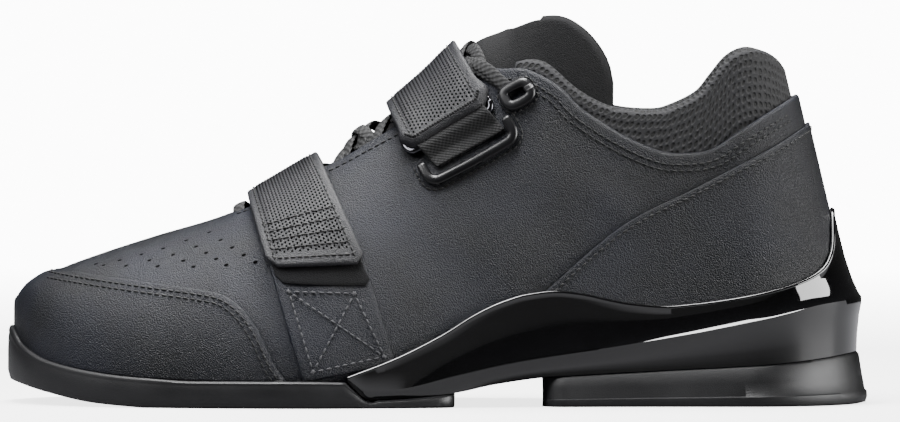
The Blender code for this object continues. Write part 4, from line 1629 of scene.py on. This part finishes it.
@dataclass
class Laces:
    """The flat lace: crossings over the tongue and the runs to the top eyelets."""

    finishes: Finishes
    wide: float = 0.0046
    thick: float = 0.0013
    tuck: float = 0.0012  # how deep the lace lies at the throat's edges

    def run(self, name: str, points: Array, facing: Array) -> bpy.types.Object:
        """One run of lace."""
        return sweep(name, points, facing, self.wide, self.thick, self.finishes.lace, around=14)

    def crossings(self) -> list[bpy.types.Object]:
        """Both strands in crosses from row to row, diving under the throat's edges."""
        made = []
        for k in range(2):
            t, angle, height = [], [], []
            for i, (at, next_at) in enumerate(zip(LACE_ROWS, LACE_ROWS[1:])):
                sign = -1 if (i + k) % 2 else 1
                reach = float(read_line(THROAT, at)) * SIZES.ball_width + self.tuck
                next_reach = float(read_line(THROAT, next_at)) * SIZES.ball_width + self.tuck
                share = np.linspace(0, 1, 15)[:-1]
                here = at + (next_at - at) * share
                y = sign * (reach + (-next_reach - reach) * share)
                across = -y / LAST.half_width(here)
                power = LAST.column("square", here) / 2
                t.append(LAST.t_at(here))
                angle.append(np.arccos(np.sign(across) * np.abs(across) ** power))
                lift = 0.0008 if (k + i) % 2 else -0.0006
                ends = np.abs(np.cos(np.pi * share)) ** 6
                height.append(-self.tuck + lift * np.sin(np.pi * share) - self.tuck * ends)
            stations, angles, heights = (np.concatenate(part) for part in (t, angle, height))
            points = LAST.lay(stations, angles, heights)
            made.append(self.run(f"lace_strand_{k}", points, LAST.out(stations, angles)))
        return made

    def arch(self, name: str, at: float, half: float, rise: float, slant: float) -> bpy.types.Object:
        """A short run that arches across the lacing.

        Args:
            name: Its name.
            at: Share of the length.
            half: How far it reaches to each side.
            rise: Its height over the upper at the middle.
            slant: How much further back its medial end is, as a share of the length.

        Returns:
            The run.
        """
        share = np.linspace(-1, 1, 24)
        here = at + slant * share / 2
        across = -(share * half) / LAST.half_width(here)
        angle = np.arccos(np.sign(across) * np.abs(across) ** (LAST.column("square", here) / 2))
        height = rise - (rise + 0.0022) * share**2
        t = LAST.t_at(here)
        return self.run(name, LAST.lay(t, angle, height), LAST.out(t, angle))

    def knot(self) -> list[bpy.types.Object]:
        """The bunched crossing between the straps, and the first bar ahead of them."""
        bars = [self.arch("lace_first", 0.272, 0.0058, 0.0014, 0.010)]
        bunch = ((0.404, 0.0010, 0.030), (0.412, 0.0026, -0.016), (0.421, 0.0016, 0.026))
        for k, (at, rise, slant) in enumerate(bunch):
            bars.append(self.arch(f"lace_knot_{k}", at, 0.0085, rise, slant))
        return bars

    def eyelet_runs(self) -> list[bpy.types.Object]:
        """The two last runs, from the throat down into the top eyelets."""
        made = []
        for side in Side:
            for k, shift in enumerate((0.0, 0.016)):
                route = (
                    (0.512 + shift, 0.860 + shift),
                    (0.530 + shift, 0.862),
                    (0.552 + shift / 2, 0.845),
                    (0.575, 0.815),
                    (0.590, 0.790),
                )
                spots = curve_through(route, 10)
                fine = np.linspace(0, 1, len(spots))
                t, angle = LAST.from_side(spots, side)
                dip = 0.0024 * ease(0.86, 1.0, fine) + 0.0022 * (1 - ease(0.0, 0.3, fine))
                height = 0.0007 + 0.0005 * k - dip
                points = LAST.lay(t, angle, height)
                made.append(self.run(f"lace_top_{side.name.lower()}_{k}", points, LAST.out(t, angle)))
        return made

    def build(self) -> None:
        """Makes and ties the lace as one piece."""
        dress(join("lace_flat", self.crossings() + self.knot() + self.eyelet_runs()), "webbing", "lace")


@dataclass
class Lining:
    """The padded collar, the tongue and the insole."""

    finishes: Finishes
    repeats: Repeats
    collar_pad: float = 0.0050
    tongue_pad: float = 0.0045
    insole_thick: float = 0.0040

    def collar(self) -> bpy.types.Object:
        """The mesh collar: a cushion that stands over the leather's edge, round the heel."""
        rim = curve_through(COLLAR_RIM, 10)
        foot = curve_through(COLLAR_FOOT, 10)
        count = 90
        share = np.linspace(0, 1, count)

        def even(line: Array) -> tuple[Array, Array]:
            """Evenly spaced places of a side line, as stations and angles."""
            run = np.concatenate(([0], np.cumsum(np.linalg.norm(np.diff(line, axis=0), axis=1))))
            spots = np.stack([np.interp(share * run[-1], run, line[:, k]) for k in range(2)], axis=1)
            return LAST.from_side(spots, Side.LATERAL)

        (top_t, top_angle), (foot_t, foot_angle) = even(rim), even(foot)
        close = ease(0.86, 1.0, share)
        top_t, foot_t = (t + (1.0 - t) * close for t in (top_t, foot_t))
        down = np.linspace(0, 1, 34)[None, :]
        t = top_t[:, None] + (foot_t - top_t)[:, None] * down
        angle = top_angle[:, None] + (foot_angle - top_angle)[:, None] * down
        t = np.concatenate((t, t[::-1][1:]))
        angle = np.concatenate((angle, np.pi - angle[::-1][1:]))
        rows = np.broadcast_to(down, t.shape)
        inside = SIZES.wall + SIZES.clearance
        puff = np.sin(np.pi * np.clip(rows * 1.5, 0, 1)) * 0.0016 * (rows < 0.66)
        outer = LAST.lay(t, angle, -inside + 0.0001)
        inner = LAST.lay(t, angle, -inside - self.collar_pad - puff)
        return slab("collar_padding", outer, inner, self.finishes.mesh, bulge=1.0, uv=sheet_uv(outer))

    def tongue(self) -> bpy.types.Object:
        """The tongue: a padded sheet under the lace that stands up behind it."""
        rim = curve_through(TONGUE_TOP, 8)
        count = 120
        at_line = np.linspace(0.245, 0.694, count)
        top = np.interp(at_line, rim[:, 0] / SIZES.length + 0.5, rim[:, 1] / SIZES.height)
        crown = LAST.column("crown", at_line)
        limit = np.minimum(top, crown * 0.998) * SIZES.height
        feather = LAST.column("feather", at_line) * SIZES.height
        over = np.clip((limit - feather) / (crown * SIZES.height - feather), 0, 1)
        high = np.arcsin(over ** (LAST.column("square", at_line) / 2))
        low = np.maximum(LAST.gap_angle(at_line) - 0.28, 0.35)
        low = np.minimum(low, high - 0.02)
        return self.tongue_sheet(at_line, low, high)

    def tongue_sheet(self, at_line: Array, low: Array, high: Array) -> bpy.types.Object:
        """The tongue between its lower and upper edge.

        Args:
            at_line: Shares of the length.
            low: The lower angle at each of them.
            high: The upper angle at each of them.

        Returns:
            The tongue.
        """
        t = LAST.t_at(at_line)[:, None]
        v = np.linspace(0, 1, 30)[None, :]
        lateral = low[:, None] + (high - low)[:, None] * v
        angle = np.concatenate((lateral, np.pi - lateral[:, ::-1]), axis=1)
        stations = np.broadcast_to(t, angle.shape)
        past = ease(0.535, 0.570, np.broadcast_to(at_line[:, None], angle.shape))
        under = SIZES.wall + SIZES.clearance + (self.collar_pad + SIZES.clearance) * past
        crowned = 0.0009 * (1 - ease(0.0, 0.30, np.abs(angle - np.pi / 2))) * (1 - past)
        outer = LAST.lay(stations, angle, -under + crowned)
        inner = LAST.lay(stations, angle, -under - self.tongue_pad)
        cells = np.ones((len(at_line) - 1, angle.shape[1] - 1), dtype=bool)
        cells[at_line[:-1] > 0.606, v.shape[1] - 1] = False
        return slab("tongue_padding", outer, inner, self.finishes.suede, cells, uv=sheet_uv(outer))

    def insole(self) -> bpy.types.Object:
        """The insole, inside the upper's wall."""
        t = np.linspace(float(LAST.t_at(0.047)), float(LAST.t_at(0.963)), 90)
        at = LAST.share_at(t)
        inside = SIZES.wall + self.insole_thick / 2
        rings = []
        for lift, pull in ((0.0, 0.0), (0.7, 0.0), (1.0, 0.0008)):
            row = []
            for side in Side:
                flat = LAST.outline(t, side) - LAST.outline_out(t, side) * (inside + pull)
                z = LAST.column("feather", at) * SIZES.height + self.insole_thick * lift
                row.append(np.column_stack((flat, z)))
            rings.append(row)
        lateral = np.stack([row[0] for row in rings], axis=1)
        medial = np.stack([row[1] for row in rings][::-1], axis=1)
        return skin("insole_board", np.concatenate((lateral, medial), axis=1), self.finishes.insole)

    def build(self) -> None:
        """Makes and ties the lining."""
        collar = dress(self.collar(), "mesh", "collar")
        tongue = dress(self.tongue(), "suede", "tongue")
        dress(self.insole(), "insole", "insole")


Profile = Sequence[tuple[Callable[[Array], Array], Callable[[Array], Array]]]


@dataclass
class Sole:
    """Forefoot outsole, heel block and the glossy cup between foot and floor."""

    finishes: Finishes
    sole_reach: float = 0.0036
    rim_reach: float = 0.0024
    ridge_reach: float = 0.0054
    heel_reach: float = 0.0068
    forefoot_end: float = 0.522  # shares of the length where the two blocks end at the arch
    block_start: float = 0.622
    corner: float = 0.0075  # radius of the blocks' upright corners there

    @staticmethod
    def up(line: Line, lift: float = 0.0) -> Callable[[Array], Array]:
        """A side line's height in metres, as a function of the share of the length."""
        return lambda at: read_line(line, at) * SIZES.height + lift

    @staticmethod
    def fixed(value: float) -> Callable[[Array], Array]:
        """A reach that stays the same."""
        return lambda at: np.full_like(at, value)

    @staticmethod
    def back(low: float, high: float) -> Callable[[Array], Array]:
        """A reach that grows towards the heel."""
        return lambda at: low + (high - low) * np.clip((at - 0.45) / 0.50, 0, 1)

    def loft(
        self,
        name: str,
        first: float,
        last: float,
        levels: Profile,
        finish: bpy.types.Material,
        count: int = 170,
        corners: tuple[float, float] = (0.0, 0.0),
    ) -> bpy.types.Object:
        """A layer of the sole with its section given level by level.

        Args:
            name: The piece's name.
            first: Share of the length where it starts.
            last: Share where it ends.
            levels: (reach, height) functions, from the bottom outwards and up.
            finish: Its material.
            count: Stations.
            corners: Radii of the upright corners at its start and its end, or 0.

        Returns:
            The solid.
        """
        start, end = float(LAST.t_at(first)), float(LAST.t_at(last))
        t = np.linspace(start, end, count)
        at = LAST.share_at(t)
        feather = LAST.column("feather", at) * SIZES.height
        pulled = np.zeros_like(at)
        for radius, past in zip(corners, (at - first, last - at)):
            if radius:
                rounded = 1 - np.clip(past * SIZES.length / radius, 0, 1)
                pulled = pulled + radius * (1 - np.sqrt(1 - rounded**2))
        halves = {}
        for side in Side:
            foot, out = LAST.outline(t, side), LAST.outline_out(t, side)
            rows = []
            for reach, height in levels:
                z = np.broadcast_to(height(at), at.shape)
                flat = foot + out * (np.broadcast_to(reach(at), at.shape) - pulled)[:, None]
                x = flat[:, 0] - LAST.lean(at) * np.clip(z - feather, 0, None)
                rows.append(np.column_stack((x, flat[:, 1], z)))
            halves[side] = np.stack(rows, axis=1)
        rings = np.concatenate((halves[Side.LATERAL], halves[Side.MEDIAL][:, ::-1]), axis=1)
        return skin(name, rings, finish)

    def forefoot(self) -> bpy.types.Object:
        """The forefoot outsole with its toe bumper and a fine step under its top edge."""
        foot = self.up(OUTSOLE_FOOT)

        def top(at: Array) -> Array:
            """The top of the rubber, up the toe and under the cup."""
            gap = np.where(at > SIZES.cup_at + 0.03, SIZES.clearance, 3 * SIZES.clearance)
            under = self.up(CUP_FOOT)(at) - gap
            return np.where(at < SIZES.cup_at, self.up(OUTSOLE_TOP)(at), under)

        def share(part: float) -> Callable[[Array], Array]:
            """A height part of the way from the underside to the top."""
            return lambda at: foot(at) + (top(at) - foot(at)) * part

        reach, fixed = self.sole_reach, self.fixed
        levels = [
            (fixed(reach - 0.0022), foot),
            (fixed(reach - 0.0008), lambda at: foot(at) + 0.0003 * ease(0.0, 0.1, top(at) - foot(at))),
            (fixed(reach), share(0.16)),
            (fixed(reach), share(0.55)),
            (fixed(reach - 0.0002), share(0.80)),
            (fixed(reach - 0.0004), share(0.86)),
            (fixed(reach - 0.0003), share(0.92)),
            (fixed(reach - 0.0008), share(0.985)),
            (fixed(reach - 0.0016), share(1.0)),
            (fixed(SIZES.overlay), share(0.99)),
        ]
        ends = (SIZES.toe_at, self.forefoot_end)
        return self.loft("forefoot_rubber", *ends, levels, self.finishes.rubber, corners=(0.0, self.corner))

    def heel_block(self) -> bpy.types.Object:
        """The rubber block under the heel, flared towards the floor."""
        b = self.back
        foot = self.up(CUP_FOOT, -SIZES.clearance)

        def part(share: float) -> Callable[[Array], Array]:
            """A share of the block's height."""
            return lambda at: foot(at) * share

        levels = [
            (b(0.0008, self.heel_reach - 0.0026), part(0.0)),
            (b(0.0022, self.heel_reach - 0.0006), part(0.03)),
            (b(0.0028, self.heel_reach), part(0.13)),
            (b(0.0028, self.heel_reach - 0.0002), part(0.24)),
            (b(0.0020, self.heel_reach - 0.0009), part(0.27)),
            (b(0.0016, self.heel_reach - 0.0020), part(0.60)),
            (b(0.0012, 0.0038), part(0.95)),
            (b(0.0004, 0.0030), part(1.0)),
        ]
        ends = (self.block_start, SIZES.heel_at)
        return self.loft("heel_rubber", *ends, levels, self.finishes.rubber, corners=(self.corner, 0.0))

    def cup(self) -> bpy.types.Object:
        """The glossy cup: a scooped band over a sharp ridge, a bead along its top edge."""
        b = self.back
        rim, ridge, foot = self.up(CUP_TOP, 0.0008), self.up(CUP_RIDGE, 0.0004), self.up(CUP_FOOT)
        rim_out, ridge_out = b(self.rim_reach, self.rim_reach + 0.0006), b(0.0020, self.ridge_reach)
        foot_out = b(0.0010, 0.0030)

        def feather(at: Array) -> Array:
            """Just under the last's feather edge, where the cup closes below the foot."""
            return LAST.column("feather", at) * SIZES.height - SIZES.clearance

        def between(low: Callable, high: Callable, share: float, scoop: float = 0.0) -> Callable:
            """A value part of the way between two others, less the scoop of the band."""
            return lambda at: low(at) + (high(at) - low(at)) * share - scoop * ease(0.42, 0.60, at)

        inside = self.fixed(SIZES.overlay + 2 * SIZES.clearance)
        levels = [
            (foot_out, foot),
            (between(foot_out, ridge_out, 0.30, 0.0005), between(foot, ridge, 0.30)),
            (between(foot_out, ridge_out, 0.62, 0.0006), between(foot, ridge, 0.66)),
            (between(foot_out, ridge_out, 0.86, 0.0001), between(foot, ridge, 0.90)),
            (ridge_out, ridge),
            (between(ridge_out, rim_out, 0.16, 0.0004), between(ridge, rim, 0.06)),
            (between(ridge_out, rim_out, 0.42, 0.0008), between(ridge, rim, 0.22)),
            (between(ridge_out, rim_out, 0.66, 0.0009), between(ridge, rim, 0.45)),
            (between(ridge_out, rim_out, 0.84, 0.0006), between(ridge, rim, 0.70)),
            (between(ridge_out, rim_out, 0.95, 0.0003), between(ridge, rim, 0.90)),
            (rim_out, lambda at: rim(at) - 0.0009),
            (lambda at: rim_out(at) + 0.0002, lambda at: rim(at) - 0.0006),
            (lambda at: rim_out(at) + 0.0001, lambda at: rim(at) - 0.0002),
            (lambda at: rim_out(at) - 0.0004, lambda at: rim(at) + 0.0002),
            (lambda at: rim_out(at) - 0.0009, lambda at: rim(at) + 0.0002),
            (inside, rim),
            (inside, lambda at: np.minimum(rim(at), feather(at))),
        ]
        return self.loft("heel_cup_shell", SIZES.cup_at, SIZES.heel_at, levels, self.finishes.gloss, 200)

    def build(self) -> None:
        """Makes and ties the sole."""
        dress(self.forefoot(), "rubber", "outsole_forefoot")
        dress(self.heel_block(), "rubber", "outsole_heel")
        dress(self.cup(), "gloss", "heel_cup")


@dataclass
class Studio:
    """A pale floor, soft light and the camera."""

    metres_per_pixel: float = 0.000348
    distance: float = 3.6
    elevation: float = math.radians(1.5)
    sensor: float = 36.0
    side_plane: float = -0.020
    frame_middle: tuple[float, float] = (450.0, 211.0)
    middle_pixel: float = 438.0
    floor_pixel: float = 405.0
    frame_width: int = 900

    def camera(self) -> None:
        """The camera, square to the lateral side and a little above the floor."""
        x = (self.frame_middle[0] - self.middle_pixel) * self.metres_per_pixel
        z = (self.floor_pixel - self.frame_middle[1]) * self.metres_per_pixel
        aim = Vector((x, self.side_plane, z))
        data = bpy.data.cameras.new("camera")
        data.sensor_width = self.sensor
        data.lens = self.sensor * self.distance / (self.frame_width * self.metres_per_pixel)
        made = bpy.data.objects.new("camera", data)
        bpy.context.scene.collection.objects.link(made)
        back = Vector((0, -math.cos(self.elevation), math.sin(self.elevation)))
        made.location = aim + back * self.distance
        made.rotation_euler = (-back).to_track_quat("-Z", "Y").to_euler()
        bpy.context.scene.camera = made

    @staticmethod
    def light(
        name: str, place: Vector, size: tuple[float, float], power: float, mirrored_only: bool = False
    ) -> None:
        """A soft panel that faces the shoe.

        Args:
            name: Its name.
            place: Where it stands.
            size: Its width and height.
            power: Its power in watts.
            mirrored_only: Whether it shows in reflections alone.
        """
        data = bpy.data.lights.new(name, "AREA")
        data.shape = "RECTANGLE"
        data.size, data.size_y = size
        data.energy = power
        made = bpy.data.objects.new(name, data)
        bpy.context.scene.collection.objects.link(made)
        made.location = place
        made.visible_diffuse = not mirrored_only
        aim = Vector((0, 0, 0.05)) - place
        made.rotation_euler = aim.to_track_quat("-Z", "Y").to_euler()

    @staticmethod
    def floor() -> None:
        """A wide pale floor and a white surround."""
        material = bpy.data.materials.new("floor")
        material.use_nodes = True
        w = Wiring(material.node_tree)
        shader = material.node_tree.nodes["Principled BSDF"]
        place = w.node("ShaderNodeTexCoord").outputs["Object"]
        speckle = w.node("ShaderNodeTexNoise", {"Vector": place, "Scale": 3.0})
        pale = w.blend(speckle.outputs["Fac"], (0.86, 0.86, 0.86), (0.90, 0.90, 0.90))
        seen = w.node("ShaderNodeLightPath").outputs["Is Camera Ray"]
        across = w.node("ShaderNodeSeparateXYZ", {0: place}).outputs["Y"]
        bounce = w.blend(w.map(across, 0.0, 1.0, -0.16, -0.08), (0.02, 0.02, 0.02), (0.20, 0.20, 0.21))
        w.tree.links.new(w.blend(seen, bounce, pale), shader.inputs["Base Color"])
        w.tree.links.new(w.calc("MULTIPLY", seen, 3.0), shader.inputs["Emission Strength"])
        shader.inputs["Roughness"].default_value = 0.6
        shader.inputs["Emission Color"].default_value = (1, 1, 1, 1)
        distance = w.node("ShaderNodeVectorMath", {0: place}, operation="LENGTH").outputs["Value"]
        w.tree.links.new(w.map(distance, 1.0, 0.0, 0.5, 1.5), shader.inputs["Alpha"])
        half = 2.0
        mesh = bpy.data.meshes.new("floor")
        corners = [(-half, -half, 0), (half, -half, 0), (half, half, 0), (-half, half, 0)]
        mesh.from_pydata(corners, [], [(0, 1, 2, 3)])
        mesh.materials.append(material)
        made = bpy.data.objects.new("floor", mesh)
        bpy.context.scene.collection.objects.link(made)
        world = bpy.data.worlds.new("surround")
        world.use_nodes = True
        sky = Wiring(world.node_tree)
        background = world.node_tree.nodes["Background"]
        background.inputs["Color"].default_value = (1, 1, 1, 1)
        seen = sky.node("ShaderNodeLightPath").outputs["Is Camera Ray"]
        world.node_tree.links.new(sky.map(seen, 0.035, 12.0), background.inputs["Strength"])
        bpy.context.scene.world = world

    def build(self) -> None:
        """Sets the studio up."""
        self.floor()
        self.camera()
        self.light("key", Vector((-0.95, -0.42, 0.95)), (0.9, 0.5), 12)
        self.light("top", Vector((-0.10, 0.05, 1.30)), (1.5, 0.5), 62)
        self.light("side", Vector((1.15, -0.30, 0.34)), (0.90, 1.00), 34, mirrored_only=True)


def main() -> None:
    """Builds the shoe piece by piece."""
    logging.basicConfig(level=logging.INFO, format="%(name)s %(message)s")
    studio = Studio()
    studio.build()
    finishes, repeats = Finishes(), Repeats()
    Sole(finishes).build()
    Upper(finishes, repeats).build()
    Lining(finishes, repeats).build()
    Laces(finishes).build()
    Hardware(finishes, repeats).build()
    low_seat = 2 * SIZES.clearance + SIZES.overlay
    over_ring = 2 * Hardware.ring_radius + 4 * SIZES.clearance
    Strap(
        "strap_forefoot",
        lateral=((0.309, 0.349), (0.416, 0.362), (0.335, 0.760), (0.262, 0.700)),
        medial=((0.340, 0.110), (0.447, 0.165), (0.335, 0.760), (0.262, 0.700)),
        lateral_seat=low_seat,
        folded=False,
        finishes=finishes,
        repeats=repeats,
    ).build()
    Strap(
        "strap_instep",
        lateral=((0.470, 0.645), (0.559, 0.770), (0.488, 1.060), (0.414, 0.920)),
        medial=((0.535, 0.320), (0.640, 0.420), (0.488, 1.060), (0.414, 0.920)),
        lateral_seat=over_ring,
        folded=True,
        finishes=finishes,
        repeats=repeats,
    ).build()


if __name__ == "__main__":
    main()
